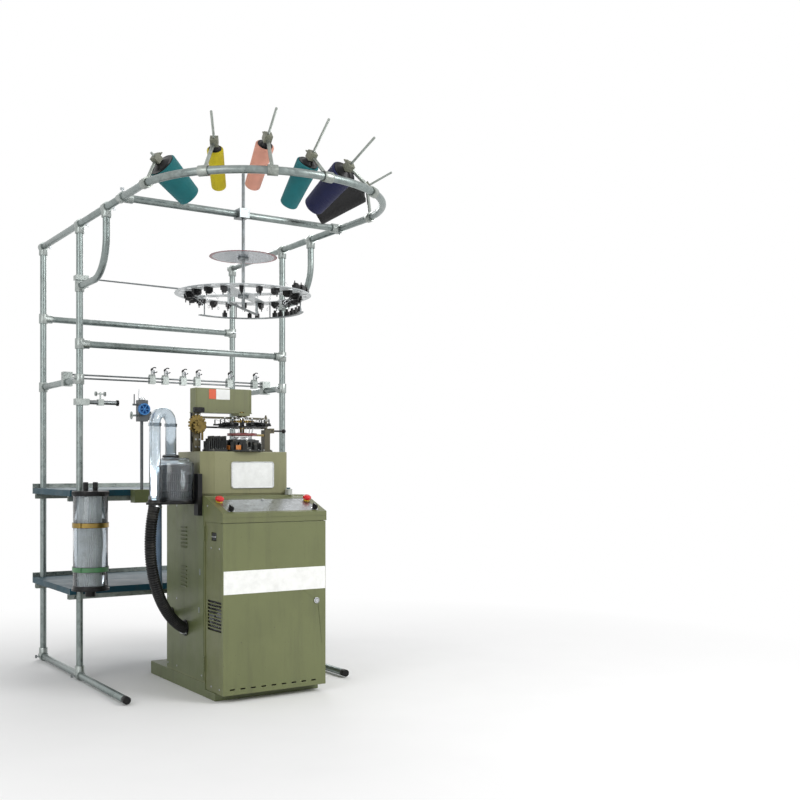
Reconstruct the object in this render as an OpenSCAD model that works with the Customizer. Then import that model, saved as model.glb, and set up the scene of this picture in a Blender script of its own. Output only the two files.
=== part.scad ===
// Sock knitting machine with a pipe creel for its yarn cones.
// Millimetres. Origin on the floor under the needle cylinder's axis.
// +X to the operator's right, +Y to the back, +Z up.

/* [Creel] */
// Outside diameter of the galvanised pipe
pipe_d = 33.7; // [26.9:0.1:42.4]
// Distance between the left and right posts
creel_w = 1145; // [1100:5:1300]
// Distance between the front and rear posts
creel_d = 663; // [600:5:800]
// Middle of the creel, to the right of the needle axis
creel_x = -24; // [-40:1:0]
// Front posts behind the needle axis
post_y = 635; // [620:5:700]
// Height of the top rails
rail_z = 2300; // [2250:10:2400]
// Start of the bent ring ahead of the needle axis
ring_start = 241; // [200:1:300]
// Floor bars ahead of the front posts
floor_reach = 698; // [600:1:760]
// Height of the upper rear bar
rear_bar_z = 1899; // [1850:1:1950]
// Height of the front bar
front_bar_z = 1696; // [1650:1:1750]
// Height of the side bars that carry the yarn guides
side_bar_z = 1518; // [1480:1:1560]
// Bend radius of the corner braces
brace_r = 180; // [150:5:200]
// Left brace ahead of the front posts
brace_reach = 414; // [380:1:460]
// Right brace ahead of the front posts
brace_reach_right = 331; // [300:1:380]
// Drop of the lower leg of the braces below the rail
brace_drop = 315; // [280:1:340]

/* [Shelves] */
// Thickness of the shelf boards
board_t = 32; // [18:1:40]
// Top of the lower shelf
shelf_low_z = 463; // [400:1:500]
// Top of the upper shelf
shelf_high_z = 958; // [930:1:990]
// Shelf boards past the posts at each side
shelf_over = 50; // [40:1:70]

/* [Cabinet] */
// Width of the cabinet
body_w = 540; // [520:1:560]
// Middle of the cabinet, to the right of the needle axis
body_x = 36; // [20:1:50]
// Front wall of the machine body ahead of the needle axis
body_front = 94; // [80:1:110]
// Depth of the machine body
body_d = 474; // [440:1:520]
// Top of the machine body
body_top = 938; // [920:1:960]
// Height of the base pan
base_h = 65; // [50:1:80]
// Base pan behind the body
base_back = 225; // [180:1:240]
// Depth of the control box in front of the body
box_d = 195; // [180:1:220]
// Bottom of the control box
box_z = 36; // [25:1:50]
// Top of the door, under the console
door_top = 817; // [790:1:830]
// Height of the console's front lip
lip_h = 44; // [35:1:55]
// Thickness of the sheet metal
sheet = 2.5; // [1.5:0.5:3]
// Thickness of the folded door
door_t = 20; // [16:1:24]

/* [Head] */
// Top of the head housing
head_top = 1148; // [1130:1:1170]
// Width of the housing's front face
head_w = 387; // [360:1:420]
// Housing's front face ahead of the needle axis
head_front = 65; // [60:1:80]
// Radius of the needle cylinder
needle_r = 48; // [44:1:52]
// Needle grooves around the cylinder
groove_n = 72; // [48:12:96]
// Height of the upper control box
upper_h = 115; // [100:1:130]
// Bottom of the upper control box
upper_z = 1339; // [1330:1:1360]

/* [Yarn path] */
// Radius of the large sensor disc
disc_r = 327; // [300:1:340]
// Drop of the large sensor disc below the rail
disc_drop = 395; // [370:1:410]
// Radius of the small top disc
top_disc_r = 163; // [150:1:180]
// Drop of the small top disc below the rail
top_disc_drop = 212; // [180:1:240]
// Length of the middle yarn cones
cone_l = 215; // [200:5:230]

/* [Suction and filter] */
// Radius of the suction jar
jar_r = 86; // [75:1:90]
// Radius of the filter canister
filter_r = 88; // [80:1:90]
// Bottom of the filter canister
filter_z = 463; // [440:1:480]
// Height of the filter canister
filter_h = 492; // [450:1:510]

/* [Hidden] */
$fn = 48;
gap = 0.3;
run_fit = 0.06;
eps = 0.01;
pipe_r = pipe_d / 2;
fit_r = pipe_r + 6;
fit_l = 52;
fit_branch = 48;
left_x = creel_x - creel_w / 2;
right_x = creel_x + creel_w / 2;
rear_y = post_y + creel_d;
post_xs = [left_x, right_x];
post_ys = [post_y, rear_y];
stub_gap = pipe_r + gap + 1;
post_foot_z = fit_r;
brace_z = rail_z - brace_drop;
disc_z = rail_z - disc_drop;
top_disc_z = rail_z - top_disc_drop;
ring_y = -ring_start;
ring_r = creel_w / 2;
body_l = body_x - body_w / 2;
body_r = body_x + body_w / 2;
body_back = body_d - body_front;
box_l = body_l + 4;
box_r = body_r - 4;
box_front = -body_front - box_d;
lip_top = door_top + 2 + lip_h;
ledge_y = -body_front - 36;
ledge_z = body_top - 14;
head_l = body_l;
head_r = head_l + 64 + head_w;
head_back = 234;
plinth_h = 8;
box_top = door_top + 2;

// Small helpers for pipes and boxes

module slab(x0, y0, z0, x1, y1, z1) {
  translate([x0, y0, z0])
    cube([x1 - x0, y1 - y0, z1 - z0]);
}

module rod_x(x0, x1, y, z, r) {
  translate([x0, y, z])
    rotate([0, 90, 0])
      cylinder(r = r, h = x1 - x0);
}

module rod_y(x, y0, y1, z, r) {
  translate([x, y0, z])
    rotate([-90, 0, 0])
      cylinder(r = r, h = y1 - y0);
}

module rod_z(x, y, z0, z1, r) {
  translate([x, y, z0])
    cylinder(r = r, h = z1 - z0);
}

// A straight round bar between two points
module bar(a, b, r) {
  d = b - a;
  l = norm(d);
  translate(a)
    rotate([0, acos(d[2] / l), atan2(d[1], d[0])])
      cylinder(r = r, h = l);
}

// Machine base and body

module base() {
  skirt_front = -body_front - 115;
  back = body_back + base_back;
  color("#5f6648")
    difference() {
      union() {
        slab(body_l, -body_front, 0, body_r, back, base_h);
        slab(body_l, skirt_front, 0, body_r, -body_front + 1, box_z);
      }
      slab(body_l + sheet, -body_front + sheet, sheet, body_r - sheet,
        back - sheet, base_h - sheet);
      slab(body_l + sheet, skirt_front + sheet, sheet, body_r - sheet,
        -body_front + 5, box_z - sheet);
    }
}

module hose_holes() {
  rod_x(body_l - 20, body_l + 20, hose_end[1], hose_end_z + 6, hose_r + 4);
}

module body() {
  vent_w = 300;
  vent_n = 8;
  color("#6f7550")
    difference() {
      slab(body_l, -body_front, base_h, body_r, body_back, body_top);
      slab(body_l + sheet, -body_front + sheet, base_h + sheet,
        body_r - sheet, body_back - sheet, body_top - sheet);
      rod_z(0, 0, body_top - 20, body_top + 20, shaft_r + 6);
      hose_holes();
      for (i = [0 : vent_n - 1])
        slab(body_x - vent_w / 2, body_back - 10, 200 + i * 30,
          body_x + vent_w / 2, body_back + 10, 210 + i * 30);
    }
}

module side_panel() {
  low = base_h + 10;
  high = body_top - 42;
  front = -body_front + 10;
  back = body_back - 6;
  louvre_y = 115;
  louvre_w = 72;
  louvre_n = 6;
  color("#666d4b")
    difference() {
      union() {
        slab(body_l - sheet, front, low, body_l, back, high);
        for (z0 = [500, 690])
          for (i = [0 : louvre_n - 1])
            translate([body_l - sheet, louvre_y, z0 + i * 19])
              rotate([-90, 0, 0])
                linear_extrude(height = louvre_w)
                  polygon([[0.5, 8], [0, 8], [-5, 2], [-5, 0], [0.5, 0]]);
      }
      hose_holes();
      for (z0 = [500, 690])
        for (i = [0 : louvre_n - 1])
          slab(body_l - sheet - 3.5, louvre_y + 2, z0 + i * 19 - 1.5,
            body_l - sheet + 0.4, louvre_y + louvre_w - 2, z0 + i * 19 + 1.2);
    }
}

// Control box in front of the body, with its door and boards

door_gap = 0.3;
door_front = box_front;
box_mouth = door_front + door_t + door_gap;
flange = 18;

module front_box() {
  fan_y0 = -body_front - 176;
  fan_y1 = -body_front - 22;
  slot_n = 9;
  color("#757b55")
    difference() {
      slab(box_l, box_mouth, box_z, box_r, -body_front, box_top);
      slab(box_l + sheet, box_mouth + sheet, box_z + sheet, box_r - sheet,
        -body_front - sheet, box_top - sheet);
      slab(box_l + flange, box_mouth - 1, box_z + flange, box_r - flange,
        box_mouth + sheet + 1, box_top - flange);
      for (i = [0 : slot_n - 1])
        slab(box_l - 5, fan_y0, 320 + i * 16, box_l + 10, fan_y1, 330 + i * 16);
      slab(box_l - 5, -body_front - 120, 734, box_l + 10, -body_front - 66, 772);
    }
}

lock_x = box_r - 50;
lock_z = 439;
lock_r = 11;

module front_door() {
  slot_n = 9;
  slot_pitch = (box_r - box_l - 60) / slot_n;
  skin = 2;
  color("#7b8159")
    difference() {
      slab(box_l, door_front, box_z, box_r, door_front + door_t, door_top);
      slab(box_l + skin, door_front + skin, box_z + skin, box_r - skin,
        door_front + door_t + 1, door_top - skin);
      for (i = [0 : slot_n - 1])
        slab(box_l + 34 + i * slot_pitch, door_front - 1, box_z + 22,
          box_l + 34 + i * slot_pitch + 24, door_front + 5, box_z + 28);
      rod_y(lock_x, door_front - 5, door_front + 5, lock_z, lock_r + run_fit);
    }
}

module door_lock() {
  cam_l = 42;
  cam_y = box_mouth + sheet + 3;
  color("#b9bcbd")
    union() {
      difference() {
        rod_y(lock_x, door_front - 6, cam_y, lock_z, lock_r);
        slab(lock_x - 1.2, door_front - 7, lock_z - 6, lock_x + 1.2,
          door_front - 2, lock_z + 6);
      }
      rod_y(lock_x, door_front - 3, door_front, lock_z, lock_r + 3);
      slab(lock_x - 7, cam_y, lock_z - 7, lock_x + 7, cam_y + 3,
        lock_z + cam_l);
    }
}

module control_board() {
  back = -body_front - sheet;
  x0 = box_l + 70;
  color("#2f6b4a")
    for (i = [0 : 1])
      translate([0, 0, i * 300]) {
        slab(x0, back - 14, 180, x0 + 380, back - 12, 440);
        for (x = [x0 + 12, x0 + 368])
          for (z = [192, 428])
            rod_y(x, back - 12, back, z, 4);
        for (k = [0 : 4])
          slab(x0 + 20 + k * 70, back - 34, 220, x0 + 66 + k * 70,
            back - 14, 300);
        slab(x0 + 30, back - 40, 340, x0 + 180, back - 14, 400);
      }
}

// Sloped console with its panel, stop buttons and knobs

module console_profile(front, top) {
  polygon([[front, box_top], [-body_front, box_top],
    [-body_front, body_top - 3], [ledge_y, ledge_z], [front, top]]);
}

module at_console(x, y) {
  run = ledge_y - box_front;
  rise = ledge_z - lip_top;
  t = (y - box_front) / run;
  translate([x, y, lip_top + t * rise])
    rotate([atan2(rise, run), 0, 0])
      children();
}

panel_l = box_l + 30;
panel_r = box_r - 30;
panel_y0 = box_front + 14;
panel_y1 = ledge_y - 8;
slope_run = ledge_y - box_front;
slope_len = norm([ledge_y - box_front, ledge_z - lip_top]);
panel_len = slope_len * (panel_y1 - panel_y0) / slope_run;
panel_t = 3;
button_y = box_front + 128;
button_xs = [box_l + 38, box_r - 34];
knob_y = box_front + 30;
knob_xs = [box_l + 52, box_r - 44];
stem_r = 8;

module console() {
  color("#7f855b")
    difference() {
      translate([box_l - 3, 0, 0])
        rotate([90, 0, 90])
          linear_extrude(height = box_r - box_l + 6)
            console_profile(box_front - 3, lip_top);
      at_console(panel_l, panel_y0)
        slab(0, 0, -panel_t, panel_r - panel_l, panel_len, 20);
      for (x = button_xs)
        at_console(x, button_y)
          rod_z(0, 0, -30, 30, stem_r + run_fit);
      for (x = knob_xs)
        at_console(x, knob_y)
          rod_z(0, 0, -30, 30, stem_r + run_fit);
      slab(box_l - 10, box_front - 10, lip_top - 22, box_r + 10,
        box_front - 1.5, lip_top - 20);
    }
}

module console_panel() {
  seat = 0.3;
  knob_dia = 22;
  color("#a9b4b8")
    difference() {
      at_console(panel_l, panel_y0)
        union() {
          slab(seat, seat, -panel_t, panel_r - panel_l - seat,
            panel_len - seat, -0.5);
          rod_z((panel_r - panel_l) / 2, panel_len - 14, -1, 5, 7);
        }
      for (x = button_xs)
        at_console(x, button_y)
          rod_z(0, 0, -30, 30, stem_r + 1);
      for (x = knob_xs)
        at_console(x, knob_y)
          rod_z(0, 0, -30, 30, stem_r + 1);
    }
}

module stop_button(x) {
  color("#c8202a")
    at_console(x, button_y)
      union() {
        rod_z(0, 0, -16, 16, stem_r);
        rod_z(0, 0, 10, 20, 20);
        translate([0, 0, 20])
          cylinder(r1 = 20, r2 = 12, h = 6);
      }
}

module stop_button_left() {
  stop_button(button_xs[0]);
}

module stop_button_right() {
  stop_button(button_xs[1]);
}

module knob(x) {
  color("#1d1e20")
    at_console(x, knob_y)
      union() {
        rod_z(0, 0, -16, 6, stem_r);
        rod_z(0, 0, 2, 16, 13);
        slab(-4, -17, 12, 4, 17, 24);
      }
}

module knob_left() {
  knob(knob_xs[0]);
}

module knob_right() {
  knob(knob_xs[1]);
}

// Drive inside the body: motor, belt and the upright shaft

shaft_r = 15;
pulley_z = 470;
pulley_h = 26;
pulley_r = 72;
motor_pulley_r = 36;
motor_at = [150, 210];
belt_t = 4;

module motor() {
  shell_r = 62;
  foot_z = base_h + sheet;
  color("#3a3f45")
    union() {
      rod_z(motor_at[0], motor_at[1], foot_z + 14, pulley_z - 20, shell_r);
      slab(motor_at[0] - 80, motor_at[1] - 80, foot_z, motor_at[0] + 80,
        motor_at[1] + 80, foot_z + 14);
    }
}

module motor_pulley() {
  color("#9aa0a4")
    union() {
      rod_z(motor_at[0], motor_at[1], pulley_z - 20 + gap, pulley_z, 12);
      rod_z(motor_at[0], motor_at[1], pulley_z, pulley_z + pulley_h,
        motor_pulley_r);
      rod_z(motor_at[0], motor_at[1], pulley_z - 2, pulley_z,
        motor_pulley_r + 5);
    }
}

module belt_loop(grow) {
  hull() {
    circle(r = pulley_r + grow);
    translate(motor_at)
      circle(r = motor_pulley_r + grow);
  }
}

module belt() {
  color("#1c1c1e")
    translate([0, 0, pulley_z + gap])
      linear_extrude(height = pulley_h - 2 * gap)
        difference() {
          belt_loop(gap + belt_t);
          belt_loop(gap);
        }
}

module drive_shaft() {
  color("#a7acb0")
    union() {
      rod_z(0, 0, pulley_z - 60, drum_z - gap, shaft_r);
      rod_z(0, 0, pulley_z, pulley_z + pulley_h, pulley_r);
      rod_z(0, 0, pulley_z - 2, pulley_z, pulley_r + 5);
    }
}

// Head housing and its blank badge

badge_l = -88;
badge_r = 138;
badge_z0 = 971;
badge_z1 = 1100;
badge_t = 5;

module head_plan(inset) {
  polygon([[head_l + inset, -36 + inset], [head_l + 64, -head_front + inset],
    [head_r - 12, -head_front + inset], [head_r - inset, -head_front + 12],
    [head_r - inset, head_back - inset], [head_l + inset, head_back - inset]]);
}

module head_housing() {
  wall = 12;
  color("#8b8d66")
    difference() {
      union() {
        translate([0, 0, body_top + plinth_h])
          linear_extrude(height = head_top - body_top - plinth_h)
            head_plan(0);
        translate([0, 0, body_top])
          linear_extrude(height = plinth_h)
            head_plan(5);
      }
      translate([0, 0, body_top - 1])
        linear_extrude(height = head_top - body_top - wall + 1)
          head_plan(wall);
      rod_z(0, 0, head_top - 40, head_top + 10, shaft_r + run_fit);
    }
}

module rounded_plate(x0, z0, x1, z1, r) {
  union() {
    translate([x0 + r, z0])
      square([x1 - x0 - 2 * r, z1 - z0]);
    translate([x0, z0 + r])
      square([x1 - x0, z1 - z0 - 2 * r]);
    for (x = [x0 + r, x1 - r])
      for (z = [z0 + r, z1 - r])
        translate([x, z])
          circle(r = r);
  }
}

module badge() {
  rim = 6;
  corner = 14;
  color("#dfe5ea")
    translate([0, -head_front, 0])
      rotate([90, 0, 0])
        difference() {
          linear_extrude(height = badge_t)
            rounded_plate(badge_l, badge_z0, badge_r, badge_z1, corner);
          translate([0, 0, badge_t - 2])
            linear_extrude(height = 5)
              rounded_plate(badge_l + rim, badge_z0 + rim, badge_r - rim,
                badge_z1 - rim, corner - rim);
        }
}

// Knitting head: drum, grooved needle cylinder, dial and feeders

drum_z = head_top + 10;
drum_top = drum_z + 46;
drum_in = needle_r + 3;
drum_out = needle_r + 34;
needle_top = drum_top + 14;
dial_z = needle_top + 6;
carrier_z = 1262;
carrier_in = needle_r + 12;
carrier_out = needle_r + 70;
column_y0 = 40;
column_y1 = 80;
column_l = head_l + 2;
column_r = 158;

module cylinder_drum() {
  port_n = 10;
  color("#3b3d3c") {
    lever_bank();
    difference() {
      union() {
        rod_z(0, 0, head_top, head_top + 8, drum_out + 16);
        rod_z(0, 0, head_top + 8, drum_top, drum_out);
        for (i = [0 : port_n - 1])
          rotate([0, 0, i * 360 / port_n])
            slab(drum_out - 6, -9, head_top + 8, drum_out + 14, 9,
              drum_top - 10 - 8 * (i % 2));
      }
      rod_z(0, 0, head_top + 8, drum_top + 5, drum_in);
      rod_z(0, 0, head_top - 5, head_top + 10, shaft_r + run_fit);
      for (i = [0 : port_n - 1])
        rotate([0, 0, (i + 0.5) * 360 / port_n])
          slab(drum_in - 5, -7, head_top + 22, drum_out + 20, 7,
            drum_top - 12);
    }
  }
}

// Bank of pattern levers standing left of the drum
module lever_bank() {
  fin_n = 9;
  x0 = -196;
  union() {
    slab(x0, -52, head_top, -100, 24, head_top + 10);
    for (i = [0 : fin_n - 1])
      slab(x0 + 4 + i * 10.5, -48, head_top + 5, x0 + 8 + i * 10.5, 20,
        head_top + 50 + 12 * (i % 3));
    slab(x0, -22, head_top + 30, -100, -14, head_top + 38);
  }
}

module needle_cylinder() {
  groove_w = 1.8;
  groove_d = 3;
  color("#c9ccd0")
    difference() {
      rod_z(0, 0, drum_z, needle_top, needle_r);
      rod_z(0, 0, drum_z + 14, needle_top + 5, needle_r - 9);
      for (i = [0 : groove_n - 1])
        rotate([0, 0, i * 360 / groove_n])
          slab(needle_r - groove_d, -groove_w / 2, drum_z + 8,
            needle_r + 5, groove_w / 2, needle_top + 5);
    }
}

module dial() {
  tooth_n = 36;
  gear_r = 58;
  gear_z = carrier_z + 26;
  color("#b8a36a")
    union() {
      rod_z(0, 0, dial_z, dial_z + 7, needle_r - 2);
      rod_z(0, 0, dial_z + 7, dial_z + 16, 24);
      rod_z(0, 0, dial_z + 16, upper_z + 2, 11);
      rod_z(0, 0, upper_z - 24, upper_z - 18, 17);
      rod_z(0, 0, gear_z, gear_z + 10, gear_r - 4);
      for (i = [0 : tooth_n - 1])
        rotate([0, 0, i * 360 / tooth_n])
          slab(gear_r - 8, -1.8, gear_z, gear_r, 1.8, gear_z + 10);
    }
}

module feeder(a, reach, lift) {
  rotate([0, 0, a])
    union() {
      slab(carrier_in + 4, -5, carrier_z + 7, carrier_out - 6, 5,
        carrier_z + 22 + lift);
      slab(carrier_out - 22, -8, carrier_z + 12, carrier_out + reach, 8,
        carrier_z + 20 + lift);
      slab(carrier_in - 8, -2, carrier_z + 14, carrier_in + 8, 2,
        carrier_z + 20);
      rod_z(carrier_out + reach - 8, 0, carrier_z + 14, carrier_z + 40 + lift,
        3);
    }
}

module feeder_heads() {
  feed_as = [188, 206, 226, 246, 266, 286, 306, 330, 352, 20, 160];
  color("#26282a")
    union() {
      difference() {
        rod_z(0, 0, carrier_z, carrier_z + 8, carrier_out);
        rod_z(0, 0, carrier_z - 5, carrier_z + 15, carrier_in);
      }
      slab(column_l + 34, column_y0 + 8, carrier_z, -carrier_in - 20,
        column_y1 - 8, carrier_z + 8);
      slab(carrier_in + 20, column_y0 + 8, carrier_z, column_r - 16,
        column_y1 - 8, carrier_z + 8);
      for (i = [0 : len(feed_as) - 1])
        feeder(feed_as[i], 12 + 8 * (i % 3), 4 * (i % 2));
    }
}

// Two notched pattern plates on a pin in front of the left column
module notched_plate(r, t, notch_n) {
  rotate([90, 0, 0])
    difference() {
      cylinder(r = r, h = t);
      for (i = [0 : notch_n - 1])
        rotate([0, 0, i * 360 / notch_n])
          slab(r - 7, -3, -1, r + 5, 3, t + 1);
    }
}

module brass_plates() {
  pin_x = head_l + 14;
  pin_z = upper_z - 61;
  color("#a68c4a")
    union() {
      rod_y(pin_x, 4, column_y0, pin_z, 8);
      translate([pin_x, 30, pin_z])
        notched_plate(46, 5, 16);
      translate([pin_x + 6, 16, pin_z - 10])
        notched_plate(33, 5, 12);
      slab(pin_x + 20, 25, pin_z - 76, pin_x + 30, 30, pin_z - 30);
    }
}

module columns() {
  color("#6b6248")
    union() {
      slab(column_l, column_y0, head_top, column_l + 34, column_y1,
        upper_z - 4);
      slab(column_r - 16, column_y0, head_top, column_r + 14, column_y1, 1258);
      slab(column_r - 26, column_y0 - 6, head_top, column_r + 24,
        column_y1 + 6, head_top + 8);
      slab(column_l, column_y0 + 12, upper_z - 31, column_r, column_y0 + 20,
        upper_z - 21);
      rod_z(column_r, 60, 1258, upper_z - 39, 8);
      rod_z(column_r, 60, 1274, 1284, 13);
      translate([column_r, 60, upper_z - 39])
        cylinder(r1 = 13, r2 = 3, h = 32);
      difference() {
        for (y = [column_y0 + 2, column_y1 - 8])
          slab(column_r + 14, y, lever_at[2] - 12, lever_at[0] + 12, y + 6,
            lever_at[2] + 12);
        rod_y(lever_at[0], column_y0, column_y1, lever_at[2],
          lever_pin_r + run_fit);
      }
    }
}

module ring_arms() {
  arm_z = needle_top + 7;
  color("#8e4a48")
    union() {
      difference() {
        rod_z(0, 0, arm_z, arm_z + 12, needle_r + 24);
        rod_z(0, 0, arm_z - 5, arm_z + 20, needle_r + 4);
      }
      slab(needle_r - 4, column_y0 + 4, arm_z + 1, column_r - 16,
        column_y0 + 16, arm_z + 11);
    }
}

module upper_box() {
  depth = 66;
  x0 = head_l + 10;
  x1 = 70;
  color("#757b52")
    union() {
      slab(x0, column_y0, upper_z, x1, column_y0 + depth, upper_z + upper_h);
      slab(x0 - 2, column_y0 - 2, upper_z - 4, x1 + 2,
        column_y0 + depth + 2, upper_z);
      difference() {
        slab(-30, -26, upper_z - 18, 30, column_y0 + 20, upper_z - 4);
        rod_z(0, 0, upper_z - 30, upper_z + 10, 11 + run_fit);
      }
      for (x = [x0 + 5, x1 - 9])
        slab(x, column_y0 - 1.5, upper_z + 3, x + 4, column_y0,
          upper_z + upper_h - 3);
    }
}

lever_at = [column_r + 26, 60, 1254];
lever_pin_r = 4;

module lever() {
  ball_r = 11;
  reach = 74;
  color("#1f2022")
    union() {
      rod_y(lever_at[0], column_y0 + 8.5, column_y1 - 8.5, lever_at[2], 9);
      rod_y(lever_at[0], column_y0 + 3, column_y1 - 3, lever_at[2],
        lever_pin_r);
      rod_x(lever_at[0] + 4, lever_at[0] + reach, lever_at[1], lever_at[2],
        4.5);
      translate([lever_at[0] + reach, lever_at[1], lever_at[2]])
        sphere(r = ball_r);
    }
}

// Suction jar with its clear return tube, and the hoses down to the body

jar_at = [-330, 30];
jar_z = 918;
jar_h = 205;
tube_r = 26;
neck_at = [jar_at[0] - 22, jar_at[1]];
leg_at = [jar_at[0] - 119, jar_at[1] - 50];
leg_turn = atan2(leg_at[1] - neck_at[1], leg_at[0] - neck_at[0]);
leg_gap = norm([leg_at[0] - neck_at[0], leg_at[1] - neck_at[1]]);
plate_z = jar_z - 18;
plate_t = 12;
hose_r = 27;
hose_top = [leg_at[0], leg_at[1], plate_z];
hose_end = [body_l, 133];
hose_run = hose_end[0] - hose_top[0];
hose_side = hose_end[1] - hose_top[1];
hose_turn = atan2(hose_side, hose_run);
hose_span = norm([hose_run, hose_side]);
hose_cx = 421;
hose_cz = jar_z - 198;
hose_bend = norm([hose_cx, hose_top[2] - hose_cz]);
hose_a0 = atan2(hose_top[2] - hose_cz, -hose_cx);
hose_drop = sqrt(hose_bend * hose_bend - pow(hose_cx - hose_span, 2));
hose_a1 = 360 - atan2(hose_drop, hose_span - hose_cx);
hose_end_z = hose_cz - hose_drop;
blue_r = 16;
blue_bend = 250;
blue_end = [body_l, 315, 345];
blue_turn = 54;

module suction_glass() {
  wall = 3;
  neck_z = jar_z + jar_h;
  top_z = 1275;
  shoulder = jar_z + jar_h - 30;
  color([0.75, 0.8, 0.85, 0.4]) {
    difference() {
      union() {
        rod_z(jar_at[0], jar_at[1], jar_z, shoulder, jar_r);
        translate([jar_at[0], jar_at[1], shoulder])
          cylinder(r1 = jar_r, r2 = 62, h = 24);
        rod_z(neck_at[0], neck_at[1], shoulder + 20, neck_z + 8, tube_r + 9);
        rod_z(neck_at[0], neck_at[1], shoulder + 30, shoulder + 36,
          tube_r + 12);
      }
      rod_z(jar_at[0], jar_at[1], jar_z - 5, shoulder - wall, jar_r - wall);
      translate([jar_at[0], jar_at[1], shoulder - wall])
        cylinder(r1 = jar_r - wall, r2 = 60, h = 22);
      rod_z(neck_at[0], neck_at[1], shoulder + 10, neck_z + 20, tube_r - 5);
      rod_z(neck_at[0], neck_at[1], neck_z - 8, neck_z + 20, tube_r + gap);
    }
    translate([neck_at[0], neck_at[1], 0])
      rotate([0, 0, leg_turn]) {
        for (x_z = [[0, neck_z - 8], [leg_gap, plate_z + plate_t]])
          difference() {
            rod_z(x_z[0], 0, x_z[1], top_z, tube_r);
            rod_z(x_z[0], 0, x_z[1] - 1, top_z + 1, tube_r - wall);
          }
        translate([leg_gap / 2, 0, top_z])
          rotate([90, 0, 0])
            rotate_extrude(angle = 180)
              translate([leg_gap / 2, 0])
                difference() {
                  circle(r = tube_r);
                  circle(r = tube_r - wall);
                }
      }
  }
}

module suction_base() {
  bracket_x = body_l - sheet;
  color("#1b1c1e")
    difference() {
      union() {
        slab(leg_at[0], jar_at[1] - 40, plate_z, bracket_x, jar_at[1] + 40,
          plate_z + plate_t);
        rod_z(leg_at[0], leg_at[1], plate_z, plate_z + plate_t, tube_r + 14);
        slab(leg_at[0], leg_at[1] - 30, plate_z, jar_at[0], jar_at[1],
          plate_z + plate_t);
        rod_z(jar_at[0], jar_at[1], plate_z, jar_z, jar_r + 4);
        difference() {
          rod_z(leg_at[0], leg_at[1], plate_z, jar_z + 4, tube_r + 6);
          rod_z(leg_at[0], leg_at[1], plate_z + plate_t, jar_z + 9,
            tube_r + gap);
        }
        slab(bracket_x - 22, jar_at[1] - 100, plate_z - 54, bracket_x,
          jar_at[1] - 54, plate_z + 142);
        slab(bracket_x - 22, jar_at[1] - 100, plate_z, bracket_x,
          jar_at[1], plate_z + plate_t);
      }
      rod_z(leg_at[0], leg_at[1], plate_z - 9, jar_z, hose_r - 8);
      rod_z(jar_at[0], jar_at[1], plate_z - 9, jar_z + 9, 40);
    }
}

module suction_hose() {
  color("#202124")
    difference() {
      union() {
        translate([hose_top[0], hose_top[1], 0])
          rotate([0, 0, hose_turn])
            translate([hose_cx, 0, hose_cz])
              rotate([90, 0, 0])
                rotate([0, 0, hose_a0])
                  rotate_extrude(angle = hose_a1 - hose_a0, $fn = 96)
                    translate([hose_bend, 0])
                      circle(r = hose_r, $fn = 24);
        rod_x(body_l - sheet - 12, body_l - sheet, hose_end[1],
          hose_end_z + 6, hose_r + 12);
      }
      slab(hose_top[0] - 60, hose_top[1] - 60, hose_top[2] - gap,
        hose_top[0] + 60, hose_top[1] + 60, hose_top[2] + 60);
      slab(body_l - sheet, hose_end[1] - 90, hose_end_z - 90,
        body_l + 60, hose_end[1] + 90, hose_end_z + 90);
    }
}

module blue_hose() {
  collar_l = 12;
  wall_x = body_l - sheet;
  color("#5d7389")
    difference() {
      union() {
        translate(blue_end)
          rotate([0, 0, blue_turn])
            translate([-blue_bend, 0, blue_bend]) {
              rod_z(0, 0, 0, 300, blue_r);
              translate([blue_bend, 0, 0])
                rotate([90, 0, 0])
                  rotate([0, 0, 180])
                    rotate_extrude(angle = 90, $fn = 96)
                      translate([blue_bend, 0])
                        circle(r = blue_r, $fn = 24);
            }
        rod_x(wall_x - collar_l, wall_x, blue_end[1] - 10, blue_end[2],
          2 * blue_r);
      }
      slab(wall_x, blue_end[1] - 90, blue_end[2] - 90, body_l + 60,
        blue_end[1] + 90, blue_end[2] + 90);
    }
}

// Filter canister strapped to the front left post

filter_at = [left_x + 20, post_y - pipe_r - filter_r - 8];

module filter_tube() {
  color([0.85, 0.9, 0.92, 0.4])
    translate([filter_at[0], filter_at[1], filter_z + 24])
      difference() {
        cylinder(r = filter_r - 4, h = filter_h - 48);
        translate([0, 0, -1])
          cylinder(r = filter_r - 8, h = filter_h);
      }
}

module filter_fittings() {
  top = filter_z + filter_h;
  color("#202224")
    translate([filter_at[0], filter_at[1], 0]) {
      difference() {
        union() {
          rod_z(0, 0, filter_z, filter_z + 24, filter_r - 2);
          rod_z(0, 0, filter_z, filter_z + 10, filter_r + 4);
          rod_z(0, 0, filter_z - 32, filter_z, 26);
        }
        rod_z(0, 0, filter_z - 40, filter_z + 30, 16);
      }
      difference() {
        union() {
          rod_z(0, 0, top - 24, top, filter_r + 1);
          for (x = [-24, 24])
            rod_z(x, 0, top, top + 44, 12);
          for (x = [-24, 24])
            for (k = [0 : 2])
              translate([x, 0, top + 12 + k * 10])
                cylinder(r1 = 15, r2 = 12, h = 8);
        }
        for (x = [-24, 24])
          rod_z(x, 0, top - 40, top + 60, 7);
      }
      for (z = [filter_z + 92, filter_z + 310])
        difference() {
          union() {
            rod_z(0, 0, z, z + 26, filter_r - 1);
            slab(-38, filter_r - 10, z, -2, filter_r + 8 + pipe_d + 8, z + 26);
          }
          rod_z(0, 0, z - 5, z + 35, filter_r - 4 + gap);
          rod_z(-20, filter_r + 8 + pipe_r, z - 5, z + 35, pipe_r + gap);
        }
    }
}

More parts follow.
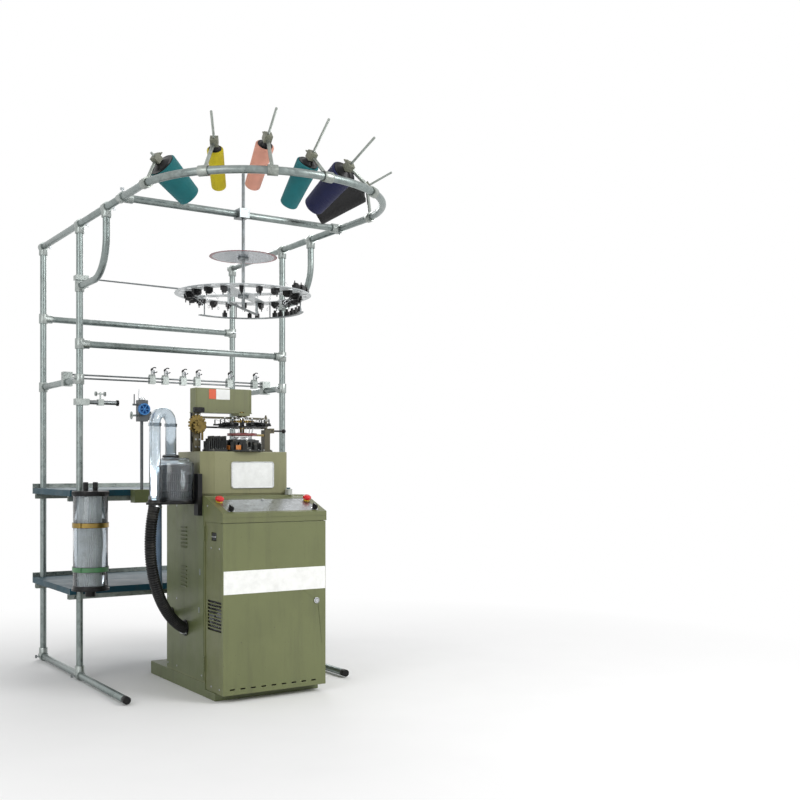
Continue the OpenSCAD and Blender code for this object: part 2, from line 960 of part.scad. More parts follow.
module filter_bag() {
  color("#e8ebe8")
    translate([filter_at[0], filter_at[1], filter_z + 24])
      difference() {
        cylinder(r = filter_r - 26, h = filter_h - 48);
        translate([0, 0, 20])
          cylinder(r = filter_r - 34, h = filter_h);
        translate([0, 0, -5])
          cylinder(r = 14, h = 40);
      }
}

// Elastic yarn feeder on its pole, with the junction box on the shelf rail

pole_x = -286;
pole_y = post_y - 38;
wheel_z = 1372;

module feeder_stand() {
  box_l0 = pole_x - 48;
  color("#4d5256") {
    slab(box_l0, pole_y - 30, shelf_high_z - 68, box_l0 + 94,
      post_y - 5, shelf_high_z);
    rod_z(pole_x, pole_y, shelf_high_z, 1310, 8);
    difference() {
      union() {
        slab(pole_x - 22, pole_y - 22, 1310, pole_x + 26, pole_y + 24, 1420);
        slab(pole_x + 26, pole_y - 12, 1318, pole_x + 48, pole_y + 12, 1362);
        rod_z(pole_x - 40, pole_y, 1392, 1450, 3);
        rod_x(pole_x - 48, pole_x - 20, pole_y, 1396, 5);
      }
      rod_y(pole_x, pole_y - 40, pole_y - 10, wheel_z, 6 + run_fit);
    }
  }
}

module feeder_wheel() {
  spoke_n = 6;
  color("#3f7fb8")
    union() {
      rod_y(pole_x, pole_y - 44, pole_y - 12, wheel_z, 6);
      difference() {
        rod_y(pole_x, pole_y - 44, pole_y - 24, wheel_z, 30);
        rod_y(pole_x, pole_y - 50, pole_y - 30, wheel_z, 24);
        translate([pole_x, pole_y - 34, wheel_z])
          rotate([90, 0, 0])
            difference() {
              translate([0, 0, -4])
                cylinder(r = 40, h = 8);
              translate([0, 0, -5])
                cylinder(r = 26, h = 10);
            }
      }
      for (i = [0 : spoke_n - 1])
        translate([pole_x, pole_y, wheel_z])
          rotate([0, i * 360 / spoke_n, 0])
            slab(4, -43, -2, 26, -28, 2);
    }
}

// Creel of galvanised pipe

module posts() {
  color("#9aa5a3")
    for (x = post_xs)
      for (y = post_ys)
        rod_z(x, y, post_foot_z + stub_gap, rail_z - stub_gap, pipe_r);
}

module creel_bars() {
  back_end = 40;
  color("#98a3a1") {
    for (x = post_xs) {
      rod_y(x, 0, rear_y + back_end, rail_z, pipe_r);
      rod_y(x, post_y - floor_reach, rear_y + back_end, post_foot_z, pipe_r);
      rod_y(x, post_y + stub_gap, rear_y - stub_gap, side_bar_z, pipe_r);
    }
    rod_x(left_x + stub_gap, right_x - stub_gap, rear_y, rear_bar_z, pipe_r);
    rod_x(left_x + stub_gap, right_x - stub_gap, post_y, front_bar_z, pipe_r);
    rod_x(left_x + stub_gap, right_x - stub_gap, 0, rail_z, pipe_r);
  }
}

module ring() {
  color("#a0aaa8")
    union() {
      for (x = post_xs)
        rod_y(x, ring_y, -gap, rail_z, pipe_r);
      translate([creel_x, ring_y, rail_z])
        rotate([0, 0, 180])
          rotate_extrude(angle = 180, $fn = 180)
            translate([ring_r, 0])
              circle(r = pipe_r, $fn = 32);
    }
}

brace_ys = [post_y - brace_reach, post_y - brace_reach_right];

module braces() {
  color("#98a3a1")
    for (i = [0, 1])
      brace(post_xs[i], brace_ys[i]);
}

module brace(x, brace_y) {
  union() {
    rod_z(x, brace_y, brace_z + brace_r, rail_z - stub_gap, pipe_r);
    rod_y(x, brace_y + brace_r, post_y - stub_gap, brace_z, pipe_r);
    translate([x, brace_y + brace_r, brace_z + brace_r])
      rotate([0, 90, 0])
        rotate([0, 0, -90])
          rotate_extrude(angle = 90, $fn = 96)
            translate([brace_r, 0])
              circle(r = pipe_r, $fn = 32);
  }
}

module end_caps() {
  cap_l = 30;
  cap_t = 4;
  color("#161718") {
    for (x = post_xs)
      difference() {
        rod_y(x, post_y - floor_reach - cap_t, post_y - floor_reach + cap_l,
          post_foot_z, pipe_r + 0.9);
        rod_y(x, post_y - floor_reach - gap, post_y - floor_reach + cap_l + 5,
          post_foot_z, pipe_r + gap);
      }
    difference() {
      rod_x(left_x + 190, left_x + 200, post_y, arm_z, 15);
      rod_x(left_x + 180, left_x + 196, post_y, arm_z, arm_r + gap);
    }
  }
}

// One pipe fitting: a sleeve on the through pipe and a socket for the other
module tee(p, run, turn) {
  translate(p)
    rotate(run)
      rotate([0, 0, turn])
        difference() {
          union() {
            rod_z(0, 0, -fit_l / 2, fit_l / 2, fit_r);
            rod_x(0, fit_branch, 0, 0, fit_r);
          }
          rod_z(0, 0, -fit_l, fit_l, pipe_r + gap);
          rod_x(pipe_r, fit_branch + 5, 0, 0, pipe_r + gap);
        }
}

along_y = [90, 0, 0];
upright = [0, 0, 0];

// Every fitting as [place, through direction, turn of the socket]
tees = concat(
  [for (x = post_xs) for (y = post_ys) [[x, y, rail_z], along_y, -90]],
  [for (x = post_xs) for (y = post_ys) [[x, y, post_foot_z], along_y, 90]],
  [for (i = [0, 1]) [[post_xs[i], brace_ys[i], rail_z], along_y, -90]],
  [for (x = post_xs) [[x, post_y, brace_z], upright, -90]],
  [for (x = post_xs) [[x, post_y, side_bar_z], upright, 90]],
  [for (x = post_xs) [[x, rear_y, side_bar_z], upright, -90]],
  [[[left_x, rear_y, rear_bar_z], upright, 0]],
  [[[right_x, rear_y, rear_bar_z], upright, 180]],
  [[[left_x, post_y, front_bar_z], upright, 0]],
  [[[right_x, post_y, front_bar_z], upright, 180]],
  [[[left_x, 0, rail_z], along_y, 0]],
  [[[right_x, 0, rail_z], along_y, 180]]);

module clamps() {
  color("#aab0ad") {
    for (t = tees)
      tee(t[0], t[1], t[2]);
    for (x = post_xs)
      difference() {
        slab(x - 24, guide_y - 20, side_bar_z - 22, x + 24, guide_y + 20,
          side_bar_z + 52);
        rod_y(x, guide_y - 30, guide_y + 30, side_bar_z, pipe_r + gap);
        for (p = guide_rods_at)
          rod_x(x - 30, x + 30, p[0], p[1], guide_r + gap);
      }
    difference() {
      slab(left_x - 24, post_y - 24, arm_z - 16, left_x + 44, post_y + 24,
        arm_z + 16);
      rod_z(left_x, post_y, arm_z - 30, arm_z + 30, pipe_r + gap);
      rod_x(left_x + 22, left_x + 60, post_y, arm_z, arm_r + gap);
    }
    difference() {
      slab(left_x - 24, post_y - 24, stay_z - 12, left_x + 40, post_y + 24,
        stay_z + 12);
      rod_z(left_x, post_y, stay_z - 30, stay_z + 30, pipe_r + gap);
      bar(stay_start, stay_end, stay_r + gap);
    }
  }
}

module clamp_screw(p, run, turn) {
  translate(p)
    rotate(run)
      rotate([0, 0, turn + 180])
        translate([fit_r + 0.1, 0, 0]) {
          rotate([0, 90, 0])
            cylinder(r = 3.5, h = 14, $fn = 24);
          slab(10, -9, -1.5, 22, 9, 1.5);
        }
}

module clamp_screws() {
  color("#c3c8c6")
    for (t = tees)
      clamp_screw(t[0], t[1], t[2] - 90);
}

// Shelves between the posts

module shelves() {
  color("#2d5a66")
    for (z = [shelf_low_z, shelf_high_z])
      difference() {
        slab(left_x - shelf_over, post_y - 5, z - board_t,
          right_x + shelf_over, rear_y + 30, z);
        for (x = post_xs)
          for (y = post_ys)
            rod_z(x, y, z - board_t - 5, z + 5, pipe_r + 1);
        for (x = post_xs)
          slab(x - pipe_r - 1, post_y - 20, z - board_t - 5, x + pipe_r + 1,
            post_y, z + 5);
      }
}

rail_h = 26;

module shelf_rails() {
  color("#8d9492")
    for (z = [shelf_low_z, shelf_high_z]) {
      for (y = [post_y + pipe_r + gap, rear_y - pipe_r - gap - 24])
        difference() {
          slab(left_x - shelf_over, y, z - board_t - rail_h,
            right_x + shelf_over, y + 24, z - board_t);
          slab(left_x - shelf_over - 5, y + 3, z - board_t - rail_h - 5,
            right_x + shelf_over + 5, y + 21, z - board_t - 3);
        }
      slab(left_x - shelf_over, rear_y + 30, z - board_t,
        right_x + shelf_over, rear_y + 34, z + 24);
    }
}

// Hanging rod with the two yarn discs and the guide arc below them

rod_r = 8;
rod_x0 = -6;
rod_y0 = -pipe_r - 10;
arm_z = 1403;
arm_r = 11;
stay_z = disc_z + 123;
stay_r = 4;
stay_start = [left_x + 28, post_y, stay_z];
stay_end = [rod_x0 - disc_r * 0.81, rod_y0 + 42, disc_z + 7.3];
arc_z = disc_z - 76;
arc_t = 5;
arc_in = disc_r - 58;
arc_out = disc_r - 36;
arc_from = -24;
arc_sweep = 138;
guide_y = 852;
guide_r = 4;
guide_rods_at = [[guide_y - 7, side_bar_z + 22], [guide_y + 7, side_bar_z + 22],
  [guide_y - 7, side_bar_z + 40], [guide_y + 7, side_bar_z + 40]];

module hanging_rod() {
  hub_r = 26;
  rod_top = rail_z + 195;
  arm_low = disc_z - 70;
  arm_l = disc_r * 0.62;
  color("#b4babb") {
    translate([rod_x0, rod_y0, 0])
      union() {
        rod_z(0, 0, arm_low, rod_top, rod_r);
        for (z = [disc_z, top_disc_z])
          rod_z(0, 0, z - 14, z, hub_r);
        for (a = [45, 225])
          rotate([0, 0, a]) {
            slab(0, -5, arm_low, arm_l, 5, arm_low + 8);
            slab(arm_l - 10, -5, arm_low, arm_l, 5, disc_z);
          }
      }
    translate([rod_x0, rod_y0, 0])
      union() {
        rotate([0, 0, arc_from])
          rotate_extrude(angle = arc_sweep, $fn = 120)
            translate([arc_in, arc_z])
              square([arc_out - arc_in, arc_t]);
        for (a = [-18, 36, 72, 108])
          rotate([0, 0, a])
            rod_z((arc_in + arc_out) / 2, 0, arc_z, disc_z, 3);
      }
    difference() {
      slab(rod_x0 - 26, rod_y0 - 18, rail_z - 22, rod_x0 + 26, pipe_r + 8,
        rail_z + 22);
      rod_x(-60, 60, 0, rail_z, pipe_r + gap);
      rod_z(rod_x0, rod_y0, rail_z - 30, rail_z + 30, rod_r + gap);
    }
    bar(stay_start, stay_end, stay_r);
  }
}

module sensor_disc() {
  spoke_n = 4;
  inner_r = disc_r - 96;
  hole_n = 24;
  t = 3;
  color("#c3c9cb")
    translate([rod_x0, rod_y0, disc_z])
      difference() {
        cylinder(r = disc_r, h = t, $fn = 180);
        difference() {
          translate([0, 0, -1])
            cylinder(r = inner_r, h = t + 2, $fn = 120);
          translate([0, 0, -2])
            cylinder(r = 70, h = t + 4);
          for (i = [0 : spoke_n - 1])
            rotate([0, 0, 45 + i * 360 / spoke_n])
              slab(50, -32, -2, inner_r + 10, 32, t + 2);
        }
        for (i = [0 : hole_n - 1])
          rotate([0, 0, (i + 0.5) * 360 / hole_n])
            translate([disc_r - 30, 0, -1])
              cylinder(r = 13, h = t + 2, $fn = 24);
        translate([0, 0, -1])
          cylinder(r = rod_r + gap, h = t + 2);
      }
}

module top_disc() {
  tooth_n = 60;
  t = 2;
  color("#b9bfc3")
    translate([rod_x0, rod_y0, top_disc_z])
      difference() {
        cylinder(r = top_disc_r, h = t, $fn = 180);
        for (i = [0 : tooth_n - 1])
          rotate([0, 0, i * 360 / tooth_n])
            translate([top_disc_r, 0, -1])
              cylinder(r = 3, h = t + 2, $fn = 16);
        translate([0, 0, -1])
          cylinder(r = rod_r + gap, h = t + 2);
      }
}

// One stop motion: body, head and the eyelet post that the yarn runs through
module stop_motion(up) {
  rotate([0, up ? 0 : 180, 0])
    union() {
      slab(-21, -10, 0, 21, 10, 20);
      slab(-15, -6, 20, 9, 6, 30);
      rod_z(-13, 0, 20, 40, 2.5);
      rod_z(15, 0, 20, 26, 7);
    }
}

module sensors() {
  sensor_n = 20;
  outer_as = [-62, -51, -38, -27, -14, -3, 10];
  arc_as = [-12, -3, 5, 14, 23, 30, 50, 58, 84];
  color("#1d1e20")
    translate([rod_x0, rod_y0, 0]) {
      for (i = [0 : sensor_n - 1])
        rotate([0, 0, (i + 0.5) * 360 / sensor_n])
          translate([disc_r - 66, 0, disc_z])
            stop_motion(false);
      for (a = outer_as)
        rotate([0, 0, a])
          translate([disc_r - 20, 0, disc_z + 3])
            rotate([0, 0, 90])
              stop_motion(true);
      for (a = arc_as)
        rotate([0, 0, a])
          translate([(arc_in + arc_out) / 2, 0, arc_z + arc_t])
            rotate([0, 0, 90])
              union() {
                slab(-10, -9, 0, 10, 9, 22);
                slab(-5, -5, 22, 5, 5, 34);
              }
    }
}

module guide_rods() {
  color("#c9cdcf") {
    for (p = guide_rods_at)
      rod_x(left_x - 24, right_x + 24, p[0], p[1], guide_r);
    rod_x(left_x + 22 + 1, left_x + 195, post_y, arm_z, arm_r);
  }
}

// Yarn tension on the short arm: a block, a post and two pairs of discs
module arm_tension() {
  x = left_x + 106;
  top = arm_z + 16;
  difference() {
    union() {
      slab(x - 15, post_y - 15, arm_z - 15, x + 15, post_y + 15, top);
      rod_z(x, post_y, top, top + 36, 4);
      rod_x(x - 30, x + 30, post_y, top + 28, 3);
      for (k = [-26, -20, 20, 26])
        rod_x(x + k - 1, x + k + 1, post_y, top + 28, 12);
    }
    rod_x(x - 30, x + 30, post_y, arm_z, arm_r + gap);
  }
}

module guide_blocks() {
  right = creel_x + creel_w / 2;
  xs = [creel_x - 111, creel_x - 36, creel_x + 68, creel_x + 151,
    right - 226.5, right - 69.5];
  color("#b5b8ba") {
    arm_tension();
    for (x = xs)
      difference() {
        union() {
          slab(x - 16, guide_y - 16, side_bar_z + 10, x + 16, guide_y + 16,
            side_bar_z + 52);
          rod_z(x, guide_y, side_bar_z + 52, side_bar_z + 60, 18);
          rod_z(x, guide_y, side_bar_z + 60, side_bar_z + 82, 6);
        }
        for (p = guide_rods_at)
          rod_x(x - 30, x + 30, p[0], p[1], guide_r + gap);
      }
  }
}

// Cone holders around the ring
// Each row: angle on the ring, then how far the clamp block lies inward, along
// and above, slope and heading of the spindle, rod behind the block, how much
// longer the cone is than the middle ones, radius at its back, radius at its nose

holder_rows = [
  [-174.6, [46.6, 6.5, 112], 34.9, 17.2, 36, -25, 66, 53],
  [-139.9, [69.1, 14.1, 141], 40, 59.5, 142, -20, 35, 32],
  [-110.9, [52.4, -16.5, 150], 39.7, 83.3, 142, 0, 40, 34],
  [-86.3, [53.4, -46.6, 95], 44, 95.5, 178, 0, 50, 40],
  [-55.3, [55.4, -136.7, 84], 27.9, 99.6, 190, 30, 59, 48],
  [-6.5, [-2.8, 47.4, 162], 29, 143, 142, 35, 62, 54]];
block_s = 34;
stub_r = 8;

module at_ring(h) {
  translate([creel_x, ring_y, rail_z])
    rotate([0, 0, h[0]])
      translate([ring_r, 0, 0])
        children();
}

module at_holder(h) {
  translate(block_point(h))
    rotate([0, 90 + h[2], h[3]])
      children();
}

function ring_point(h) = [creel_x + ring_r * cos(h[0]),
  ring_y + ring_r * sin(h[0]), rail_z];

function block_point(h) = ring_point(h)
  + [-cos(h[0]), -sin(h[0]), 0] * h[1][0]
  + [-sin(h[0]), cos(h[0]), 0] * h[1][1] + [0, 0, h[1][2]];

module holder_arms() {
  sleeve_l = 44;
  clear = block_s / 2 + gap;
  color("#a7adaa")
    for (h = holder_rows) {
      difference() {
        union() {
          at_ring(h)
            rod_y(0, -sleeve_l / 2, sleeve_l / 2, 0, fit_r);
          bar(ring_point(h), block_point(h), stub_r);
        }
        at_ring(h)
          rod_y(0, -sleeve_l, sleeve_l, 0, pipe_r + 0.8);
        at_holder(h)
          slab(-clear, -clear, -clear, clear, clear, clear);
      }
      at_holder(h)
        rod_z(0, 0, -h[4], 50, 5);
    }
}

module holder_blocks() {
  half = block_s / 2;
  color("#6d7064")
    for (h = holder_rows)
      at_holder(h)
        difference() {
          union() {
            slab(-half, -half, -half, half, half, half);
            rod_x(-half - 16, -half, 0, 0, 7);
            slab(-half - 20, -14, -2, -half - 8, 14, 2);
          }
          rod_z(0, 0, -50, 50, 5 + gap);
        }
}

module cone_bases() {
  color("#151617")
    for (h = holder_rows)
      at_holder(h)
        difference() {
          union() {
            translate([0, 0, block_s / 2 + gap])
              cylinder(r1 = 13, r2 = h[6] - 14, h = 19.7);
            rod_z(0, 0, block_s / 2 + 16, block_s / 2 + 20, h[6] - 8);
          }
          rod_z(0, 0, -5, 90, 5 + gap);
        }
}

module yarn_cone(h) {
  s0 = block_s / 2 + 20;
  long = cone_l + h[5];
  dome = 12;
  at_holder(h)
    difference() {
      union() {
        translate([0, 0, s0])
          cylinder(r1 = h[6], r2 = h[7], h = long - dome);
        translate([0, 0, s0 + long - dome])
          cylinder(r1 = h[7], r2 = h[7] - 12, h = dome);
      }
      translate([0, 0, s0 - 1])
        cylinder(r = 14, h = long + 20);
    }
}

module cones_teal() {
  color("#148c91") {
    yarn_cone(holder_rows[0]);
    yarn_cone(holder_rows[3]);
  }
}

module cone_yellow() {
  color("#d2b91e")
    yarn_cone(holder_rows[1]);
}

module cone_pink() {
  color("#eba591")
    yarn_cone(holder_rows[2]);
}

module cone_navy() {
  color("#1c2350")
    yarn_cone(holder_rows[4]);
}

module cone_black() {
  color("#17181a")
    yarn_cone(holder_rows[5]);
}

base();
body();
side_panel();
front_box();
front_door();
door_lock();
console();
console_panel();
stop_button_left();
stop_button_right();
knob_left();
knob_right();
control_board();
motor();
motor_pulley();
belt();
drive_shaft();
head_housing();
badge();
cylinder_drum();
needle_cylinder();
dial();
feeder_heads();
brass_plates();
columns();
ring_arms();
upper_box();
lever();
suction_glass();
suction_base();
suction_hose();
blue_hose();
filter_tube();
filter_fittings();
filter_bag();
feeder_stand();
feeder_wheel();
posts();
creel_bars();
ring();
braces();
end_caps();
clamps();
clamp_screws();
shelves();
shelf_rails();
hanging_rod();
sensor_disc();
top_disc();
sensors();
guide_rods();
guide_blocks();
holder_arms();
holder_blocks();
cone_bases();
cones_teal();
cone_yellow();
cone_pink();
cone_navy();
cone_black();
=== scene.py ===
# %% [markdown]
# # A sock knitting machine in its yarn creel
# The real machine is a steel cabinet with a round knitting head on top. It stands
# inside a creel, a frame of galvanised pipe that carries cones of yarn, two shelves,
# the yarn discs and a filter. The solids come from the construction model; here they
# get their finishes, and the small and soft things that solids can't show are added.

import math

import bpy
import numpy as np
from mathutils import Matrix


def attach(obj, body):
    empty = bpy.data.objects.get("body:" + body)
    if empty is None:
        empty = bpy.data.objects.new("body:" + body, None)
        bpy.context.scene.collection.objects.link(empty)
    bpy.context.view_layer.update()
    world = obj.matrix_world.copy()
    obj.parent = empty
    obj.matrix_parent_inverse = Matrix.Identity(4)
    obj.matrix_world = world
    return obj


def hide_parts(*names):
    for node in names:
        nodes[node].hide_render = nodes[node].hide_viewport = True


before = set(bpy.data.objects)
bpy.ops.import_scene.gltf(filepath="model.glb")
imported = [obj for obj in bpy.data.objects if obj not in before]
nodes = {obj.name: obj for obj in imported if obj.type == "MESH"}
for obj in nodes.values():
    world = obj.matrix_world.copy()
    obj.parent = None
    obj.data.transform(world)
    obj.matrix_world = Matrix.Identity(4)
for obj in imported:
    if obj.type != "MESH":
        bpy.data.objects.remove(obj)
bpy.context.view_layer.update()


# %% [markdown]
# ## The camera
# A product photograph is mostly its camera: where it stands, how level it is and how
# long its lens is. This one stands to the left of the machine at chest height and
# looks level, so upright pipes stay upright, and a small lens shift moves the picture
# up instead of tilting the camera.


# %% Place the camera
def link(name, data):
    """A new object in the scene that shows the given mesh, lamp or camera."""
    made = bpy.data.objects.new(name, data)
    bpy.context.scene.collection.objects.link(made)
    return made


camera_data = bpy.data.cameras.new("photo_camera")
focal_pixels, picture_pixels, film_width = 1059, 800, 36.0
camera_data.sensor_width = film_width
camera_data.lens = focal_pixels / picture_pixels * film_width
camera_data.shift_y = 0.085
camera = link("photo_camera", camera_data)
camera.location = (-2.226, -4.706, 1.069)
camera.rotation_euler = (math.radians(90), 0, math.radians(-33.8))
bpy.context.scene.camera = camera
print("lens", round(camera_data.lens, 2), "mm")

# %% [markdown]
# ## Wiring materials with short words
# A material is a small network of nodes. Writing each node by hand is long, so a few
# helpers make one node, set it, and wire it in one line. A socket takes either a plain
# value or another node's output, and that output also tells which network to build in.


# %% Helpers that make a node
def fill(node, sockets):
    """Fills a node's inputs: another node's output is wired in, a plain value is set."""
    for key, value in sockets.items():
        if isinstance(value, bpy.types.NodeSocket):
            node.id_data.links.new(value, node.inputs[key])
        else:
            node.inputs[key].default_value = value
    return node


def add(tree, kind, sockets, **settings):
    """One node of the given kind, with its settings set and its inputs filled."""
    node = tree.nodes.new("ShaderNode" + kind)
    for key, value in settings.items():
        setattr(node, key, value)
    return fill(node, sockets)


def tree_of(*values):
    """The network that the first node output among some values belongs to."""
    return next(v.id_data for v in values if isinstance(v, bpy.types.NodeSocket))


def here(tree):
    """The object's own coordinates, in metres from the model's origin."""
    return tree.nodes.new("ShaderNodeTexCoord").outputs["Object"]


# %% Helpers that calculate with values
def maths(operation, a, b=0.0, clamp=False):
    """The result of one operation on two values."""
    return add(tree_of(a, b), "Math", {0: a, 1: b}, operation=operation, use_clamp=clamp).outputs[0]


def plus(a, b, clamp=False):
    """The sum of two values."""
    return maths("ADD", a, b, clamp)


def times(a, b):
    """The product of two values."""
    return maths("MULTIPLY", a, b)


def remap(value, low, high, to_low=0.0, to_high=1.0):
    """A value between low and high, stretched to run between two others, and clamped."""
    sockets = {0: value, 1: low, 2: high, 3: to_low, 4: to_high}
    return add(tree_of(value), "MapRange", sockets, clamp=True).outputs[0]


def vectors(operation, a, b=(0, 0, 0)):
    """The outputs of one operation on two vectors."""
    return add(tree_of(a), "VectorMath", {0: a, 1: b}, operation=operation).outputs


def reach_of(where):
    """Distance from the upright axis: the square root of x x + y y."""
    return vectors("LENGTH", vectors("MULTIPLY", where, (1, 1, 0))[0])["Value"]


# %% Helpers for colour and noise
def blend(factor, first, second, kind="MIX"):
    """Two colours mixed by a factor."""
    tree = tree_of(factor, first, second)
    sockets = {0: factor, 6: first, 7: second}
    return add(tree, "Mix", sockets, data_type="RGBA", blend_type=kind).outputs[2]


def shaded(colour, shade):
    """A colour made lighter or darker by a grey factor."""
    return blend(1.0, colour, shade, "MULTIPLY")


def noise(where, scale, detail=3.0, roughness=0.55):
    """Cloudy noise between 0 and 1 at the given number of clouds in a metre."""
    sockets = {"Vector": where, "Scale": scale, "Detail": detail, "Roughness": roughness}
    return add(tree_of(where), "TexNoise", sockets).outputs["Fac"]


def patches(where, scale, low, high, amount=1.0):
    """Ragged patches of dust, soil or wear, as strong as the given amount."""
    return times(remap(noise(where, scale, 5, 0.7), low, high), amount)


def drift(where, scale, detail, low, high, roughness=0.55):
    """Slow noise that wanders between two values."""
    return remap(noise(where, scale, detail, roughness), 0.3, 0.7, low, high)


def stretched(where, factors):
    """Coordinates multiplied along x, y and z, which draws a pattern out into streaks."""
    return add(tree_of(where), "Mapping", {"Vector": where, "Scale": factors}).outputs[0]


def paint(red, green, blue):
    """A colour as seen on a screen, 0 to 255, turned into the linear numbers shaders use."""
    seen = np.array([red, green, blue]) / 255.0
    linear = np.where(seen <= 0.04045, seen / 12.92, ((seen + 0.055) / 1.055) ** 2.4)
    return (*(float(v) for v in linear), 1.0)


GREY = (0.5, 0.5, 0.5, 1.0)
print("olive in linear numbers:", [round(v, 3) for v in paint(120, 124, 84)])


# %% Helpers for shared effects and materials
def effect(name, **inputs):
    """A node group with the given inputs; it puts out a colour, a roughness and a height."""
    tree = bpy.data.node_groups.new(name, "ShaderNodeTree")
    for title, value in inputs.items():
        kind = "NodeSocketColor" if value is GREY else "NodeSocketFloat"
        tree.interface.new_socket(title, in_out="INPUT", socket_type=kind).default_value = value
    for title, kind in [("Colour", "Color"), ("Roughness", "Float"), ("Height", "Float")]:
        tree.interface.new_socket(title, in_out="OUTPUT", socket_type="NodeSocket" + kind)
    return tree, tree.nodes.new("NodeGroupInput").outputs, tree.nodes.new("NodeGroupOutput")


def material_of(name):
    """A new material, its network and its Principled shader."""
    material = bpy.data.materials.new(name)
    material.use_nodes = True
    return material, material.node_tree, material.node_tree.nodes["Principled BSDF"]


def bumped(height, strength, distance):
    """Surface directions that rise and fall with a height."""
    sockets = {"Strength": strength, "Distance": distance, "Height": height}
    return add(tree_of(height), "Bump", sockets).outputs[0]


def finish_of(name, group, values, bump, metallic=0.0, coat=0.0, shine=0.5):
    """A material whose colour, roughness and bump come from one shared effect."""
    material, tree, shader = material_of(name)
    skin = add(tree, "Group", values, node_tree=group).outputs
    look = {"Base Color": skin["Colour"], "Roughness": skin["Roughness"]}
    look |= {"Normal": bumped(skin["Height"], 0.6, bump), "Metallic": metallic}
    look |= {"Coat Weight": coat, "Coat Roughness": 0.2, "Specular IOR Level": shine}
    fill(shader, look)
    return material


# %% [markdown]
# ## Enamel on sheet metal
# The cabinet is olive machine enamel, sprayed and baked. Close up it has the fine
# orange peel of sprayed paint, slow changes of tone, faint streaks where oily dust was
# wiped downward, and tiny chips that show primer. One group holds all of that, so each
# painted part only gives its own colour and gloss.

# %% The enamel effect
enamel, taken, given = effect("enamel", Paint=GREY, Chip=GREY, Gloss=0.4, Dirt=0.3)
place = here(enamel)
wipe = noise(stretched(place, (22, 22, 2.2)), 1.0, 4, 0.65)
dirt = times(remap(wipe, 0.5, 0.78), taken["Dirt"])
dusty = blend(dirt, shaded(taken["Paint"], drift(place, 3.5, 4, 0.9, 1.08)), paint(58, 56, 46))
chips = remap(noise(place, 160, 2, 0.4), 0.735, 0.76)
peel = times(noise(place, 420, 2, 0.5), 0.5)
dents = times(noise(place, 12, 2, 0.5), 1.6)
smear = drift(place, 9, 5, -0.07, 0.1, 0.7)
fill(given, {"Colour": blend(chips, dusty, taken["Chip"]), "Roughness": plus(taken["Gloss"], smear, True)})
fill(given, {"Height": maths("SUBTRACT", plus(peel, dents), chips)})
print("enamel group:", len(enamel.nodes), "nodes")

# %% [markdown]
# ## Hot-dip galvanising
# The creel pipe is dipped in molten zinc, which freezes in crystals a centimetre or so
# across, each a slightly different grey. Draw marks run down it, and chalky patches
# form where it was handled. Cells from a Voronoi texture give the crystals.

# %% The zinc effect
zinc_skin, taken, given = effect("zinc_skin", Metal=GREY, Crystals=70.0, Worn=0.4)
place = here(zinc_skin)
cells = add(zinc_skin, "TexVoronoi", {"Vector": place, "Scale": taken["Crystals"]})
cell_grey = add(zinc_skin, "RGBToBW", {0: cells.outputs["Color"]}).outputs[0]
chalk = patches(place, 14, 0.46, 0.68, taken["Worn"])
dark = remap(noise(place, 5.5, 6, 0.75), 0.52, 0.7, 0.0, 0.45)
metal = shaded(taken["Metal"], remap(cell_grey, 0.2, 0.8, 0.86, 1.12))
metal = blend(dark, metal, paint(84, 88, 84))
rough = plus(remap(cell_grey, 0.1, 0.9, 0.26, 0.44), times(chalk, 0.3))
fill(given, {"Colour": blend(chalk, metal, paint(182, 188, 184)), "Roughness": rough})
fill(given, {"Height": plus(noise(place, 95, 4, 0.6), times(cell_grey, 0.15))})
print("zinc group:", len(zinc_skin.nodes), "nodes")

# %% [markdown]
# ## Bare, cast and moulded surfaces
# The other metals differ in grain: turned steel and brass have fine rings and scratches
# under a film of oil, cast iron is pitted and dark in its hollows, and moulded plastic
# has an even, slightly dusty grain. Three more groups cover them.

# %% The machined-metal effect
machined, taken, given = effect("machined", Metal=GREY, Gloss=0.3, Oil=0.4)
place = here(machined)
scratches = noise(stretched(place, (60, 60, 1400)), 1.0, 3, 0.7)
film = patches(place, 34, 0.42, 0.72, taken["Oil"])
metal = shaded(taken["Metal"], remap(scratches, 0.3, 0.7, 0.88, 1.08))
rough = plus(taken["Gloss"], remap(scratches, 0.3, 0.7, -0.06, 0.12))
fill(given, {"Colour": blend(film, metal, paint(64, 54, 38)), "Roughness": rough, "Height": scratches})
print("machined group:", len(machined.nodes), "nodes")

# %% The casting effect
casting, taken, given = effect("casting", Metal=GREY, Gloss=0.5, Rub=GREY)
place = here(casting)
pits = noise(place, 260, 3, 0.6)
rubbed = remap(noise(place, 48, 5, 0.7), 0.56, 0.66, 0.0, 0.7)
metal = shaded(taken["Metal"], drift(place, 20, 4, 0.8, 1.15))
rough = plus(taken["Gloss"], remap(pits, 0.3, 0.7, -0.1, 0.12))
fill(given, {"Colour": blend(rubbed, metal, taken["Rub"]), "Roughness": rough, "Height": pits})
print("casting group:", len(casting.nodes), "nodes")

# %% The moulded-plastic effect
moulded, taken, given = effect("moulded", Tint=GREY, Gloss=0.4, Dust=0.2)
place = here(moulded)
settled = patches(place, 18, 0.48, 0.75, taken["Dust"])
tinted = shaded(taken["Tint"], drift(place, 30, 3, 0.93, 1.06))
rough = plus(taken["Gloss"], times(settled, 0.5))
fill(given, {"Colour": blend(settled, tinted, paint(150, 146, 134)), "Roughness": rough})
fill(given, {"Height": noise(place, 900, 2, 0.5)})
print("groups made:", [group.name for group in bpy.data.node_groups])


